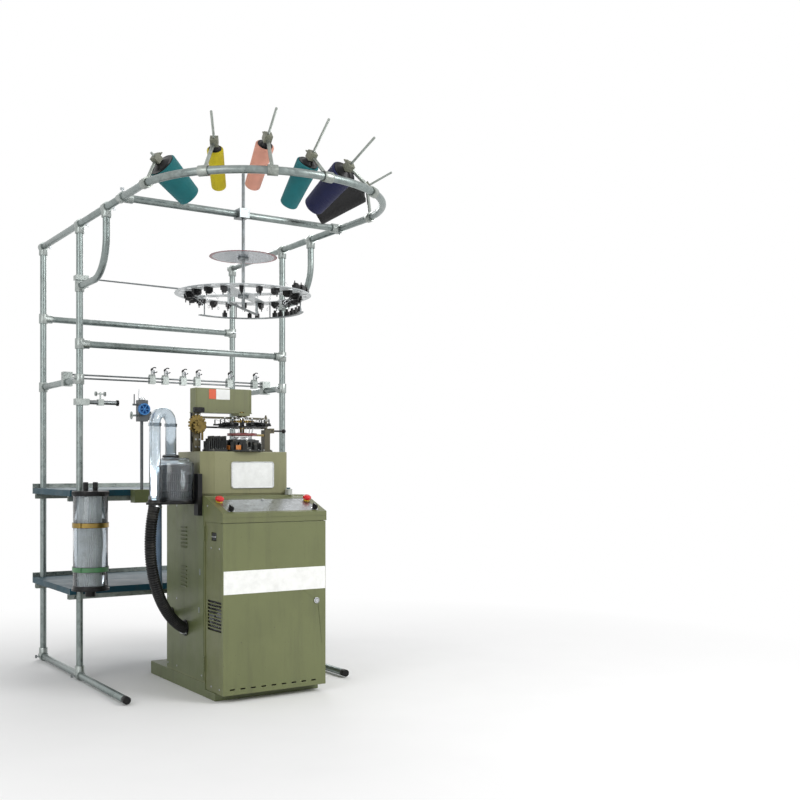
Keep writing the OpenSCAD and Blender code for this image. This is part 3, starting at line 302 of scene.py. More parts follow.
# %% Helpers for each family of finishes
def enamelled(name, colour, gloss=0.42, dirt=0.3, chip=(70, 66, 56), shine=0.5):
    """Sprayed enamel of one colour on steel."""
    values = {"Paint": paint(*colour), "Chip": paint(*chip), "Gloss": gloss, "Dirt": dirt}
    return finish_of(name, enamel, values, bump=0.0004, coat=0.3 * shine, shine=shine)


def galvanised(name, colour, crystals, worn):
    """Pipe or fitting with a zinc skin."""
    values = {"Metal": paint(*colour), "Crystals": crystals, "Worn": worn}
    return finish_of(name, zinc_skin, values, bump=0.0006, metallic=0.85)


def turned_metal(name, colour, gloss=0.28, oil=0.35):
    """Turned or ground bare metal with a film of oil."""
    values = {"Metal": paint(*colour), "Gloss": gloss, "Oil": oil}
    return finish_of(name, machined, values, bump=0.00008, metallic=1.0)


def cast_metal(name, colour, rub, gloss=0.5):
    """Cast iron or blackened steel, brighter where it rubs."""
    values = {"Metal": paint(*colour), "Gloss": gloss, "Rub": paint(*rub)}
    return finish_of(name, casting, values, bump=0.0004, metallic=0.6)


def plastic(name, colour, gloss=0.38, dust=0.15, shine=0.5):
    """Moulded plastic or rubber."""
    values = {"Tint": paint(*colour), "Gloss": gloss, "Dust": dust}
    return finish_of(name, moulded, values, bump=0.0001, shine=shine)


def clear_finish(name, colour, haze):
    """Clear moulded plastic, hazed in patches by lint and scuffs."""
    material, tree, shader = material_of(name)
    lint = noise(here(tree), 26, 5, 0.7)
    tint = blend(remap(lint, 0.4, 0.8, 0.0, 0.5), paint(*colour), paint(206, 208, 204))
    fill(shader, {"Base Color": tint, "Roughness": remap(lint, 0.35, 0.75, 0.03, haze)})
    fill(shader, {"Normal": bumped(lint, 0.25, 0.0004), "Transmission Weight": 0.96, "IOR": 1.46})
    return material


ROD_AXIS = (-0.006, -0.02685, 0)


def disc_finish(name, plate, rim, rim_start, rim_end, axis=ROD_AXIS):
    """Plate whose colour changes from plate to rim between two distances from an upright axis."""
    material, tree, shader = material_of(name)
    place = here(tree)
    reach = reach_of(vectors("SUBTRACT", place, axis)[0])
    dust = remap(noise(place, 16, 5, 0.7), 0.4, 0.75, 0.0, 0.35)
    dusty = blend(dust, paint(*plate), paint(168, 170, 168))
    scuffs = noise(place, 240, 3, 0.6)
    colour = blend(remap(reach, rim_start, rim_end), dusty, paint(*rim))
    fill(shader, {"Base Color": colour, "Roughness": remap(scuffs, 0.3, 0.7, 0.2, 0.36)})
    fill(shader, {"Normal": bumped(scuffs, 0.3, 0.0002)})
    return material


# %% Mix the finishes
body_paint = enamelled("body_paint", (101, 106, 67))
door_paint = enamelled("door_paint", (104, 110, 70), 0.4, 0.25)
side_paint = enamelled("side_paint", (94, 102, 66), 0.45, 0.4)
head_paint = enamelled("head_paint", (126, 126, 90), 0.38, 0.26)
upper_paint = enamelled("upper_paint", (105, 109, 70), 0.4, 0.3)
column_paint = enamelled("column_paint", (84, 78, 54), 0.5, 0.5)
shelf_paint = enamelled("shelf_paint", (20, 64, 78), 0.5, 0.35, (120, 126, 124), 0.2)
block_paint = enamelled("block_paint", (112, 114, 98), 0.5, 0.4)
rail_zinc = galvanised("rail_zinc", (148, 156, 152), 90, 0.5)
pipe_zinc = galvanised("pipe_zinc", (134, 144, 142), 62, 0.3)
clamp_zinc = galvanised("clamp_zinc", (158, 165, 162), 150, 0.5)
holder_zinc = galvanised("holder_zinc", (150, 156, 150), 130, 0.5)
steel = turned_metal("steel", (176, 180, 182))
dull_steel = turned_metal("dull_steel", (138, 144, 146), 0.36, 0.5)
bright_steel = turned_metal("bright_steel", (214, 217, 219), 0.16, 0.15)
brass = turned_metal("brass", (160, 136, 78), 0.3, 0.45)
old_brass = turned_metal("old_brass", (116, 100, 58), 0.44, 0.75)
dark_iron = cast_metal("dark_iron", (44, 46, 46), (120, 118, 108))
black_steel = cast_metal("black_steel", (30, 32, 34), (92, 92, 88), 0.36)
motor_grey = cast_metal("motor_grey", (62, 68, 74), (110, 112, 112))
black_plastic = plastic("black_plastic", (15, 16, 18), 0.34, 0.07, 0.25)
black_rubber = plastic("black_rubber", (12, 13, 14), 0.42, 0.1, 0.25)
red_plastic = plastic("red_plastic", (206, 30, 34), 0.25, 0.05)
white_plastic = plastic("white_plastic", (226, 228, 226), 0.35, 0.12)
feeder_grey = plastic("feeder_grey", (78, 84, 88), 0.42, 0.2)
feeder_blue = plastic("feeder_blue", (52, 122, 186), 0.3, 0.08)
board_green = plastic("board_green", (40, 104, 70), 0.4, 0.25)
hose_blue = plastic("hose_blue", (78, 100, 122), 0.42, 0.2)
print("finishes mixed:", len(bpy.data.materials))

# %% [markdown]
# ## Putting the finishes on the solids
# The solids keep their exact shapes. Two modifiers only soften their edges: Weld joins
# the split corners of the imported mesh, and Bevel rounds each sharp edge a little, so
# that it catches a line of light as folded sheet and filed metal do.


# %% Helper that dresses a solid
def dress(name, material, edge=0.0008, steps=2):
    """Gives one solid its finish and rounds its sharp edges by the given width."""
    solid = nodes[name]
    solid.data.materials.clear()
    solid.data.materials.append(material)
    if edge:
        solid.modifiers.new("join corners", "WELD").merge_threshold = 0.00002
        bevel = solid.modifiers.new("soft edges", "BEVEL")
        bevel.width = edge
        bevel.segments = steps
        bevel.limit_method = "ANGLE"
        bevel.angle_limit = math.radians(32)
        bevel.use_clamp_overlap = True
        bevel.harden_normals = True


def dress_all(rows, steps=2):
    """Dresses many solids; a row is a finish and the edge width in mm of each solid."""
    for material, edges in rows:
        for name, edge in edges.items():
            dress(name, material, edge / 1000, steps)
    print("solids dressed:", sum(len(edges) for _, edges in rows))


# %% Dress the cabinet
painted = [
    (side_paint, {"base": 3, "side_panel": 0.8}),
    (body_paint, {"body": 3, "front_box": 2.5, "console": 3}),
    (door_paint, {"front_door": 3.5}),
    (head_paint, {"head_housing": 6}),
    (upper_paint, {"upper_box": 1.2}),
    (column_paint, {"columns": 1.2}),
]
dress_all(painted, 3)

# %% Dress the creel, the shelves and the working parts
plain = [
    (pipe_zinc, {"posts": 0, "creel_bars": 0.6, "ring": 0, "braces": 0}),
    (clamp_zinc, {"clamps": 1.6, "guide_blocks": 1.2}),
    (rail_zinc, {"shelf_rails": 0.8}),
    (holder_zinc, {"holder_arms": 1}),
    (block_paint, {"holder_blocks": 2}),
    (shelf_paint, {"shelves": 1.6}),
    (steel, {"clamp_screws": 0.4, "console_panel": 0.6, "motor_pulley": 0.6, "drive_shaft": 0.6}),
    (dull_steel, {"hanging_rod": 0.8, "guide_rods": 0.3}),
    (bright_steel, {"door_lock": 0.6, "needle_cylinder": 0.2}),
    (brass, {"dial": 0.4}),
    (old_brass, {"brass_plates": 0.5}),
    (black_rubber, {"end_caps": 1.2, "belt": 0.4}),
    (black_plastic, {"cone_bases": 1, "knob_left": 1.2, "knob_right": 1.2, "lever": 0.5}),
    (black_plastic, {"suction_base": 1.5, "filter_fittings": 1, "sensors": 0.6}),
    (red_plastic, {"stop_button_left": 2, "stop_button_right": 2}),
    (white_plastic, {"badge": 0.8}),
    (board_green, {"control_board": 0.4}),
    (motor_grey, {"motor": 3}),
    (dark_iron, {"cylinder_drum": 0.8}),
    (black_steel, {"feeder_heads": 0.5}),
    (feeder_grey, {"feeder_stand": 1.2}),
    (feeder_blue, {"feeder_wheel": 0.8}),
]
dress_all(plain)

# %% Paint the box at the foot of the feeder stand
foot_top = 0.9585
stand = nodes["feeder_stand"].data
stand.materials.append(side_paint)
centre = np.empty(3 * len(stand.polygons))
stand.polygons.foreach_get("center", centre)
low = centre[2::3] < foot_top
stand.polygons.foreach_set("material_index", low.astype(np.int32))
print("faces of the painted box:", int(low.sum()))

# %% [markdown]
# ## Clear plastic and the yarn discs
# The suction jar and the filter tube are clear. Light bends through them, so the
# Principled shader's transmission does the work; a little grey-blue in the colour and
# noise in the roughness stand for lint and scuffs on the wall. The two discs over the
# head are pale plate, and the small one has a dark red rim. The colour of a rim is
# drawn by distance from an upright axis, which the Object coordinates give.

# %% Dress the clear parts and the discs
disc_white = disc_finish("disc_white", (206, 211, 213), (188, 194, 196), 0.30, 0.325)
disc_grey = disc_finish("disc_grey", (176, 182, 188), (132, 44, 52), 0.147, 0.150)
disc_grey.node_tree.nodes["Principled BSDF"].inputs["Transmission Weight"].default_value = 0.35
ring_red = disc_finish("ring_red", (122, 44, 42), (152, 130, 72), 0.073, 0.075, (0, 0, 0))
clear = [
    (clear_finish("jar_clear", (226, 234, 240), 0.2), {"suction_glass": 0.8}),
    (clear_finish("tube_clear", (224, 230, 236), 0.12), {"filter_tube": 0.6}),
    (disc_white, {"sensor_disc": 0.6}),
    (disc_grey, {"top_disc": 0.3}),
    (ring_red, {"ring_arms": 0.8}),
]
dress_all(clear)

# %% [markdown]
# ## Shapes from formulas
# Every added piece is a surface of two parameters: how far along the piece, and how far
# round it. numpy works out all the points of such a grid at once, and one helper joins
# neighbouring points with four-sided faces. A shape is a pair: its points, and its
# faces sorted by how many corners they have. Sizes are given in mm, as on a drawing,
# and points are kept in metres, as the scene needs them.


# %% Helpers for points
def mm(*values):
    """Millimetres as metres."""
    return np.array(values, float) / 1000


def pairs(*values):
    """Millimetres as metres, two in a row."""
    return mm(*values).reshape(-1, 2)


def circle(count):
    """Angles spread evenly over one turn."""
    return np.linspace(0, 2 * np.pi, count, endpoint=False)


def polar(radius, turn, height):
    """Points at the given radii, angles and heights: x = r cos t, y = r sin t, z = h."""
    parts = np.broadcast_arrays(radius * np.cos(turn), radius * np.sin(turn), height)
    return np.stack(parts, -1)


def unit(vectors_in):
    """Directions of length 1."""
    return vectors_in / np.linalg.norm(vectors_in, axis=-1, keepdims=True)


def bend(first, second, third, fourth, count=24):
    """A Bezier curve in mm: (1-t)^3 A + 3 t (1-t)^2 B + 3 t^2 (1-t) C + t^3 D."""
    t = np.linspace(0, 1, count)[:, None]
    a, b, c, d = mm(first, second, third, fourth)
    return (1 - t) ** 3 * a + 3 * t * (1 - t) ** 2 * b + 3 * t**2 * (1 - t) * c + t**3 * d


# %% Helpers for grids of faces
def quads(rows, columns, close_rows=False):
    """Faces between neighbours in a grid of rings; closed rows join the last ring to the first."""
    down = np.arange(rows if close_rows else rows - 1)[:, None]
    across = np.arange(columns)[None, :]
    below, beside = (down + 1) % rows, (across + 1) % columns
    corners = [down * columns + across, down * columns + beside]
    corners += [below * columns + beside, below * columns + across]
    return np.stack([np.broadcast_to(c, (len(down), columns)) for c in corners], -1).reshape(-1, 4)


def tube_shape(rings):
    """Rings of points, as (ring, point, xyz), skinned over; the end rings are closed flat."""
    count, around, _ = rings.shape
    ends = np.stack([np.arange(around)[::-1], (count - 1) * around + np.arange(around)])
    return rings.reshape(-1, 3), [quads(count, around), ends]


def closed(rings):
    """Rings of points skinned over, the last one joined to the first."""
    return rings.reshape(-1, 3), [quads(*rings.shape[:2], True)]


def turned(profile, around=32):
    """A profile of (radius, height) points turned round z."""
    radius, height = np.asarray(profile, float).T[:, :, None]
    return tube_shape(polar(radius, circle(around), height))


def ring_shape(profile, around=48):
    """A closed profile of (radius, height) points turned round z, like a washer or a band."""
    radius, height = np.asarray(profile, float).T[:, :, None]
    return closed(polar(radius, circle(around), height))


# %% Helpers for rods, wires and plates
def swept(path, along, fixed, radius, around):
    """Round sections square to a path: centre + r (cos t side + sin t over)."""
    side = unit(np.cross(along, fixed))
    over = np.cross(along, side)
    turn = circle(around)[None, :, None]
    size = np.broadcast_to(radius, len(path))[:, None, None] / 1000
    return path[:, None] + size * (np.cos(turn) * side[:, None] + np.sin(turn) * over[:, None])


def carried(path, radius, around=16, ring=None):
    """A round section carried along a path; its radius in mm may change from point to point."""
    path = np.asarray(path, float)
    flattest = np.eye(3)[np.argmin(path.max(0) - path.min(0))]
    fixed = flattest if ring is None else ring
    return tube_shape(swept(path, unit(np.gradient(path, axis=0)), fixed, radius, around))


def looped(path, radius, across, around=10):
    """A round section carried along a closed path that lies in the plane across one direction."""
    along = unit(np.roll(path, -1, axis=0) - np.roll(path, 1, axis=0))
    return closed(swept(path, along, across, radius, around))


def rounded(width, depth, corner, radius, around):
    """A rectangle of points whose corners, centred as for one radius, are drawn with another."""
    turn = (np.linspace(0, np.pi / 2, around) + np.pi / 2 * np.arange(4)[:, None]).ravel()
    signs = np.array([[1, 1], [-1, 1], [-1, -1], [1, -1]]).repeat(around, axis=0)
    centres = signs * (np.array([width, depth]) / 2 - corner)
    return centres + radius * np.stack([np.cos(turn), np.sin(turn)], -1)


def plate_shape(width, depth, height, corner=2, edge=0.6, around=4):
    """A rounded plate on z = 0, in mm; its first and last rings draw in by the edge."""
    rings = []
    for lift, draw in [(0, edge), (edge, 0), (height - edge, 0), (height, edge)]:
        flat = rounded(width, depth, corner, corner - draw, around)
        rings.append(np.column_stack([flat, np.full(len(flat), lift)]))
    return tube_shape(np.array(rings) / 1000)


def blade(outline, thickness):
    """A flat part cut from sheet: an outline of (x, z) points, as thick as given along y."""
    after = np.roll(outline, -1, axis=0)
    area = (outline[:, 0] * after[:, 1] - after[:, 0] * outline[:, 1]).sum()
    x, z = (outline[::-1] if area > 0 else outline).T
    sides = [np.stack([x, np.full(len(x), y), z], -1) for y in mm(-thickness / 2, thickness / 2)]
    return tube_shape(np.array(sides))


print("a plate has", len(plate_shape(100, 50, 10)[0]), "points")


# %% Helpers that place and join shapes
def moved(shape, origin=(0, 0, 0), axes=None):
    """A shape set at an origin, with its x, y and z turned to the three given directions."""
    points, faces = shape
    return points @ (np.eye(3) if axes is None else axes) + origin, faces


def repeated(shape, origins, axes=None):
    """Copies of a shape at many origins, each with its own three directions."""
    points, faces = shape
    origins = np.asarray(origins, float).reshape(-1, 3)
    axes = np.broadcast_to(np.eye(3) if axes is None else axes, (len(origins), 3, 3))
    placed = np.einsum("pi,nij->npj", points, axes) + origins[:, None]
    steps = np.arange(len(origins))[:, None, None] * len(points)
    return placed.reshape(-1, 3), [(f[None] + steps).reshape(-1, f.shape[1]) for f in faces]


def joined(*shapes):
    """Several shapes as one, their faces numbered on."""
    starts = np.cumsum([0] + [len(points) for points, _ in shapes])
    faces = [f + start for (_, sets), start in zip(shapes, starts) for f in sets]
    return np.concatenate([points for points, _ in shapes]), faces


def facing(direction, up=(0, 0, 1)):
    """Three directions with z along the given one, and y as near to up as can be."""
    z = unit(np.asarray(direction, float))
    x = np.cross(up, z)
    x = unit(np.cross((0, 1, 0), z) if np.linalg.norm(x) < 1e-6 else x)
    return np.array([x, np.cross(z, x), z])


def around_axis(degrees, radius, height, centre=(0, 0)):
    """Places on a circle, in mm, and directions there: x outward, y along it, z up."""
    turn = np.radians(np.asarray(degrees, float))
    out, side = polar(1, turn, 0), polar(1, turn + np.pi / 2, 0)
    up = np.broadcast_to([0.0, 0, 1], out.shape)
    return (polar(radius, turn, height) + [*centre, 0]) / 1000, np.stack([out, side, up], 1)


to_left, to_right, to_front = facing((-1, 0, 0)), facing((1, 0, 0)), facing((0, -1, 0))


# %% Helper that makes a piece
def piece(name, shape, material, body="machine", replaces=(), sharp=35, local=None):
    """A mesh object from a shape, with its finish; it rides on a body of the machine."""
    points, faces = shape
    mesh = bpy.data.meshes.new(name)
    loops = np.concatenate([f.ravel() for f in faces])
    sizes = np.concatenate([np.full(len(f), f.shape[1]) for f in faces])
    mesh.vertices.add(len(points))
    mesh.vertices.foreach_set("co", points.astype(np.float32).ravel())
    mesh.loops.add(len(loops))
    mesh.loops.foreach_set("vertex_index", loops.astype(np.int32))
    mesh.polygons.add(len(sizes))
    mesh.polygons.foreach_set("loop_start", (np.cumsum(sizes) - sizes).astype(np.int32))
    if local is not None:
        own = mesh.attributes.new("own_place", "FLOAT_VECTOR", "POINT")
        own.data.foreach_set("vector", np.asarray(local, np.float32).ravel())
    mesh.update(calc_edges=True)
    mesh.validate()
    mesh.polygons.foreach_set("use_smooth", np.ones(len(sizes), bool))
    mesh.set_sharp_from_angle(angle=math.radians(sharp))
    mesh.materials.append(material)
    made = link(name, mesh)
    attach(made, body)
    if replaces:
        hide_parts(*replaces)
    print(f"{name}: {len(points)} points, {len(sizes)} faces, rides on {body}")


# %% [markdown]
# ## Wound yarn cones
# A yarn cone is one thread laid to and fro over a tapered core. The thread crosses
# itself at a shallow angle, so the side shows two families of fine slanting lines, and
# the edges are soft. The body is an outline turned round the peg, like clay on a wheel.
# The lines are far too fine to model, so the material draws them from each point's own
# place on its cone, which is stored on the mesh as an attribute. The grooves between the
# threads are painted darker as painted shade, and their crowns a little lighter as painted light.

# %% The winding effect
windings, taken, given = effect("windings", Yarn=GREY, Crossings=64.0)
spot = add(windings, "Attribute", {}, attribute_name="own_place").outputs["Vector"]
parts = add(windings, "SeparateXYZ", {0: spot}).outputs
angle = maths("ARCTAN2", parts[1], parts[0])
rounds_per_metre = 4600
climb = times(plus(parts[2], reach_of(spot)), rounds_per_metre)
turns = times(angle, taken["Crossings"])
ribbon = plus(times(climb, 0.09), times(angle, 5))
pick = remap(maths("SINE", ribbon), -0.25, 0.25)
upper = times(maths("SINE", plus(climb, turns)), pick)
lower = times(maths("SINE", maths("SUBTRACT", climb, turns)), maths("SUBTRACT", 1.0, pick))
thread = plus(upper, lower)
fuzz = noise(spot, 700, 3, 0.7)
# Painted shade and light: the yarn colour is darker in the grooves between the threads and a little
# lighter on their crowns
wound = shaded(taken["Yarn"], remap(thread, -1.0, 1.0, 0.74, 1.1))
wound = shaded(wound, drift(spot, 22, 4, 0.88, 1.1, 0.6))
fill(given, {"Colour": wound, "Roughness": remap(fuzz, 0.3, 0.7, 0.62, 0.86)})
fill(given, {"Height": plus(thread, times(fuzz, 1.5))})
print("winding group:", len(windings.nodes), "nodes")


# %% Helper that mixes a yarn
def yarn(name, colour, crossings=64.0):
    """Wound yarn of one colour, with a soft sheen at its edges."""
    made = finish_of(name, windings, {"Yarn": paint(*colour), "Crossings": crossings}, bump=0.0005)
    fill(made.node_tree.nodes["Principled BSDF"], {"Sheen Weight": 0.08, "Sheen Roughness": 0.4})
    return made


# %% [markdown]
# ### Where the cones sit
# Each holder points its peg down into the ring at its own slope and heading. The row
# of numbers is the place of the holder's block, the two angles, the end of its peg, and
# the cone's length and radii, all as on the photographed stand.

# %% Holder table
cone_rows = [
    # block in mm, slope and heading in degrees, peg end, cone length, back and nose radius in mm
    ((-547, -297, 2412), 34.9, 17.2, -36, 190, 66, 53),
    ((-400, -576, 2441), 40.0, 59.5, -142, 195, 35, 32),
    ((-225, -721, 2450), 39.7, 83.3, -142, 215, 40, 34),
    ((-37, -762, 2395), 44.0, 95.5, -178, 215, 50, 40),
    ((158, -744, 2384), 27.9, 99.6, -190, 245, 59, 48),
    ((553, -259, 2462), 29.0, 143.0, -142, 250, 62, 54),
]
cone_start = 37.0


def on_peg(shape, block, slope, heading):
    """A shape set on a holder: z runs down the peg, y lies level across it."""
    s, h = np.radians([slope, heading])
    along = np.array([np.cos(s) * np.cos(h), np.cos(s) * np.sin(h), -np.sin(s)])
    across = np.array([-np.sin(h), np.cos(h), 0.0])
    return moved(shape, mm(*block), np.array([np.cross(across, along), across, along]))


# %% Outline of a package
def package(length, back, nose, around=96, core=17.4):
    """A closed outline of (radius, height), turned round the peg.

    It runs from the core over a rounded edge, along r = back + (nose - back) t,
    over the rounded nose and in to the core. The side swells by
    0.3 mm * sin(2 pi z / 11 mm + 4 turn), where one layer crosses the next.
    """
    end = cone_start + length
    edge = np.linspace(-np.pi / 2, 0, 7)
    dome = np.linspace(0, np.pi / 2, 8)
    t = np.linspace(0, 1, 60)[1:-1]
    face = np.linspace(core, back - 6, 5)[:-1]
    inner = np.linspace(nose - 11, core, 5)[1:]
    radius = [face, back - 6 + 6 * np.cos(edge), back + (nose - back) * t]
    radius += [nose - 11 + 11 * np.cos(dome), inner]
    height = [cone_start + 0 * face, cone_start + 6 + 6 * np.sin(edge)]
    height += [cone_start + 6 + (length - 18) * t, end - 12 + 11 * np.sin(dome)]
    height.append(end - 1 - 2.0 * (nose - 11 - inner) / (nose - 11 - core))
    radius, height = np.concatenate(radius)[:, None], np.concatenate(height)[:, None]
    turn = circle(around)
    side = np.clip((radius - core) / 12, 0, 1) * np.sin(np.pi * (height - cone_start) / length)
    swell = 0.3 * side * (np.sin(2 * np.pi * height / 11 + 4 * turn) - 1)
    return closed(polar(radius + swell, turn, height) / 1000)


def cone_piece(name, rows, material, node):
    """One yarn colour: its packages set on their pegs, each point keeping its own place."""
    shapes, places = [], []
    for *holder, _, length, back, nose in rows:
        shape = package(length, back, nose)
        places.append(shape[0])
        shapes.append(on_peg(shape, *holder))
    piece(name, joined(*shapes), material, replaces=(node,), local=np.concatenate(places))


# %% Wind the six cones
cone_piece("wound_teal", cone_rows[0:4:3], yarn("yarn_teal", (6, 112, 118)), "cones_teal")
cone_piece("wound_yellow", cone_rows[1:2], yarn("yarn_yellow", (214, 196, 14), 40.0), "cone_yellow")
cone_piece("wound_salmon", cone_rows[2:3], yarn("yarn_salmon", (236, 168, 146), 44.0), "cone_pink")
cone_piece("wound_navy", cone_rows[4:5], yarn("yarn_navy", (14, 22, 74)), "cone_navy")
cone_piece("wound_black", cone_rows[5:6], yarn("yarn_black", (10, 10, 12)), "cone_black")

# %% [markdown]
# ### Cores and threads
# A card core shows at both ends of a cone. The pegs are threaded rods, so that a holder
# can be set deeper or higher. A thread is a small round section carried along a helix
# that hugs the rod: x = r cos a, y = r sin a, z = pitch a / 2 pi.

# %% Cores inside the cones, and the threads
cores, threads = [], []
pitch, rod_radius = 2.6, 5.0
for *holder, peg_end, length, _, _ in cone_rows:
    start, end = cone_start + 0.4, cone_start + length - 0.6
    core = ring_shape(pairs(14.2, start, 17.2, start, 17.2, end, 14.2, end), 40)
    cores.append(on_peg(core, *holder))
    rounds = (-20.0 - peg_end) / pitch
    a = np.linspace(0, 2 * np.pi * rounds, int(rounds * 12))
    helix = polar(rod_radius, a, peg_end + 1 + pitch * a / (2 * np.pi)) / 1000
    threads.append(on_peg(carried(helix, 0.7, 4, ring=(0, 0, 1)), *holder))
piece("cone_cores", joined(*cores), plastic("core_card", (52, 50, 48), 0.6, 0.3))
piece("peg_threads", joined(*threads), holder_zinc)

# %% [markdown]
# ## Hoses
# The suction hose is black and ribbed: a spiral of hard plastic holds a soft wall
# open. A round section is carried along the hose's arc while its radius goes up and
# down once for each rib. The blue hose is stiffer, with a finer spiral under its skin.


# %% Helpers for a hose
def ribbed(run, pitch, inner, outer, cuff):
    """Radius along a hose, in mm: ribs from inner to outer, and a smooth cuff at each end."""
    wave = 0.5 + 0.5 * np.cos(2 * np.pi * run / pitch)
    ribs = inner + (outer - inner) * wave**0.6
    middle = np.clip((np.minimum(run, run[-1] - run) - cuff) / 4 + 0.5, 0, 1)
    return ribs * middle + (outer - 0.6) * (1 - middle)


def hose(name, node, line, start, heading, ribs, around, material):
    """A hose whose (out, up) line lies in the upright plane of a heading; returns its path."""
    across = (-np.sin(heading), np.cos(heading), 0)
    path = polar(line[:, 0], heading, line[:, 1]) + start
    run = np.append(0, np.cumsum(np.linalg.norm(np.diff(path, axis=0), axis=1)))
    skin = carried(path / 1000, ribbed(run, *ribs), around, ring=across)
    piece(name, skin, material, replaces=(node,), sharp=60)
    print(node.replace("_", " "), "is", round(run[-1] / 1000, 3), "m long")
    return path / 1000


# %% Lay the two hoses
arc_radius, bow_radius = 457.86, 250.0
a = np.radians(np.linspace(156.85, 249.7, 664))
arc = np.stack([421 + arc_radius * np.cos(a), 720 + arc_radius * np.sin(a)], -1)
suction_ribs = (11.5, 22.6, 27.0, 30.0)  # pitch, inner and outer radius, cuff
suction_path = hose("ribbed_hose", "suction_hose", arc, (-449, -20, 0), np.radians(35.437),
                    suction_ribs, 36, black_rubber)
drop = np.stack([np.full(130, -bow_radius), np.linspace(299.7, 0, 130)], -1)
b = np.radians(np.linspace(180, 269.4, 176))[1:]
bow = polar(bow_radius, b, 0)[:, :2]
line = np.concatenate([drop, bow])
blue_ribs = (5.8, 15.3, 16.0, 20.0)
blue_path = hose("blue_pipe", "blue_hose", line, (-234, 315, 595), np.radians(54),
                 blue_ribs, 28, hose_blue)

# %% Collars where the hoses enter the side
collar = pairs(27.2, 0, 39, 0, 39, 5, 33, 6.5, 32, 12, 27.2, 12)
small_collar = pairs(16.2, 0, 32, 0, 32, 5, 25, 6.5, 23, 12, 16.2, 12)
marks = np.radians(45 + 90 * np.arange(4))
collars, screw_at = [], []
for y, z, outline, around, reach in [(133, 296, collar, 48, 36), (305, 345, small_collar, 40, 28.5)]:
    collars.append(moved(ring_shape(outline, around), mm(-236.6, y, z), to_left))
    screw_at += [mm(-241.5, y + a, z + b) for a, b, _ in polar(reach, marks, 0)]
piece("hose_collars", joined(*collars), black_plastic)
screw = turned(pairs(3.2, 0, 3.2, 1.6, 2.2, 2.4), 12)
piece("collar_screws", repeated(screw, screw_at, to_left), steel)

# %% [markdown]
# ### Hose clips
# A worm-drive clip is a thin steel band with a small housing on its side. The same
# helper makes one for any radius, and `facing` turns it along the hose.


# %% Helper for a band clip
def clip(radius, width=9, band=0.8):
    """A band of the given inner radius, lips rolled out, with the screw housing on +x; in mm."""
    half, lip, skin = width / 2, radius + band * 1.8, radius + band
    lower = [radius, -half, lip, -half, skin, band - half]
    strap = ring_shape(pairs(*lower, skin, half - band, lip, half, radius, half), 48)
    points, faces = moved(plate_shape(7, width * 1.1, 12), mm(radius + 3.4, 0, -6))
    house = (points[:, [0, 2, 1]] * (1, 1, -1), faces)
    worm = turned(pairs(3.4, -9, 3.8, -8.4, 3.8, -6.2, 2.4, -6, 2.4, 8), 12)
    return joined(strap, house, moved(worm, mm(radius + 4.2, 0, 0), facing((0, 1, 0))))


# %% Fasten the hose clips
clips = []
for path, radius, at in [(suction_path, 27.1, 10), (suction_path, 27.1, -16), (blue_path, 16.2, 5)]:
    clips.append(moved(clip(radius), path[at], facing(path[at + 1] - path[at - 1])))
piece("hose_clips", joined(*clips), bright_steel)

# %% [markdown]
# ## Filter canister
# The clear canister on the left post holds a pleated fibre filter that catches lint.
# Its wall is a circle whose radius goes in and out with the angle, so it folds into
# pleats; two slow waves along the height make the pleats lean a little, as cloth does.
# An effect of crossed fine noise stands for the felt of fibres. Two tension bands hold
# the canister on the post, one brass-coloured and one green.

# %% The felt effect
felt, taken, given = effect("felt", Cloth=GREY, Soil=0.3)
place = here(felt)
hairs = noise(stretched(place, (900, 900, 260)), 1.0, 3, 0.75)
lumps = noise(place, 90, 5, 0.7)
cloth = shaded(taken["Cloth"], remap(lumps, 0.3, 0.7, 0.86, 1.04))
cloth = blend(patches(place, 16, 0.42, 0.7, taken["Soil"]), cloth, paint(150, 152, 146))
fill(given, {"Colour": cloth, "Roughness": remap(hairs, 0.3, 0.7, 0.8, 0.98)})
fill(given, {"Height": plus(hairs, times(lumps, 2.0))})
filter_felt = finish_of("filter_felt", felt, {"Cloth": paint(240, 242, 238), "Soil": 0.4}, bump=0.0012)
print("felt group:", len(felt.nodes), "nodes")


# %% Fold the filter
def pleated(radius, height, deep, pleats=34, around=340):
    """Rings of a pleated wall: r = radius - deep (1 - |cos(n/2 (turn + lean))|^0.7)."""
    turn = circle(around)
    radius, height, deep = radius[:, None], height[:, None], deep[:, None]
    lean = 0.05 * np.sin(9 * height) + 0.02 * np.sin(31 * height + 2)
    fold = np.abs(np.cos(pleats / 2 * (turn + lean))) ** 0.7
    sag = 0.0012 * deep / 0.009 * (1 + np.sin(3 * turn + 26 * height))
    return polar(radius - deep * (1 - fold) - sag, turn, height)


canister = (-576.5, 522.15)
steps, cloth_radius, deepest = 46, 61.8, 9.0
rise = np.linspace(488.1, 929.5, steps)
outline_r = mm(14.5, 50, *np.full(steps, cloth_radius), 56, 52, 50.5, 50, 14.5)
outline_z = mm(487.5, 487.5, *rise, 930.5, 929.5, 920, 508, 507)
fold_depth = mm(0, 4, *np.full(steps, deepest), 4, 2, 1, 0, 0)
filter_cloth = moved(closed(pleated(outline_r, outline_z, fold_depth)), mm(*canister, 0))
piece("pleated_filter", filter_cloth, filter_felt, replaces=("filter_bag",), sharp=180)

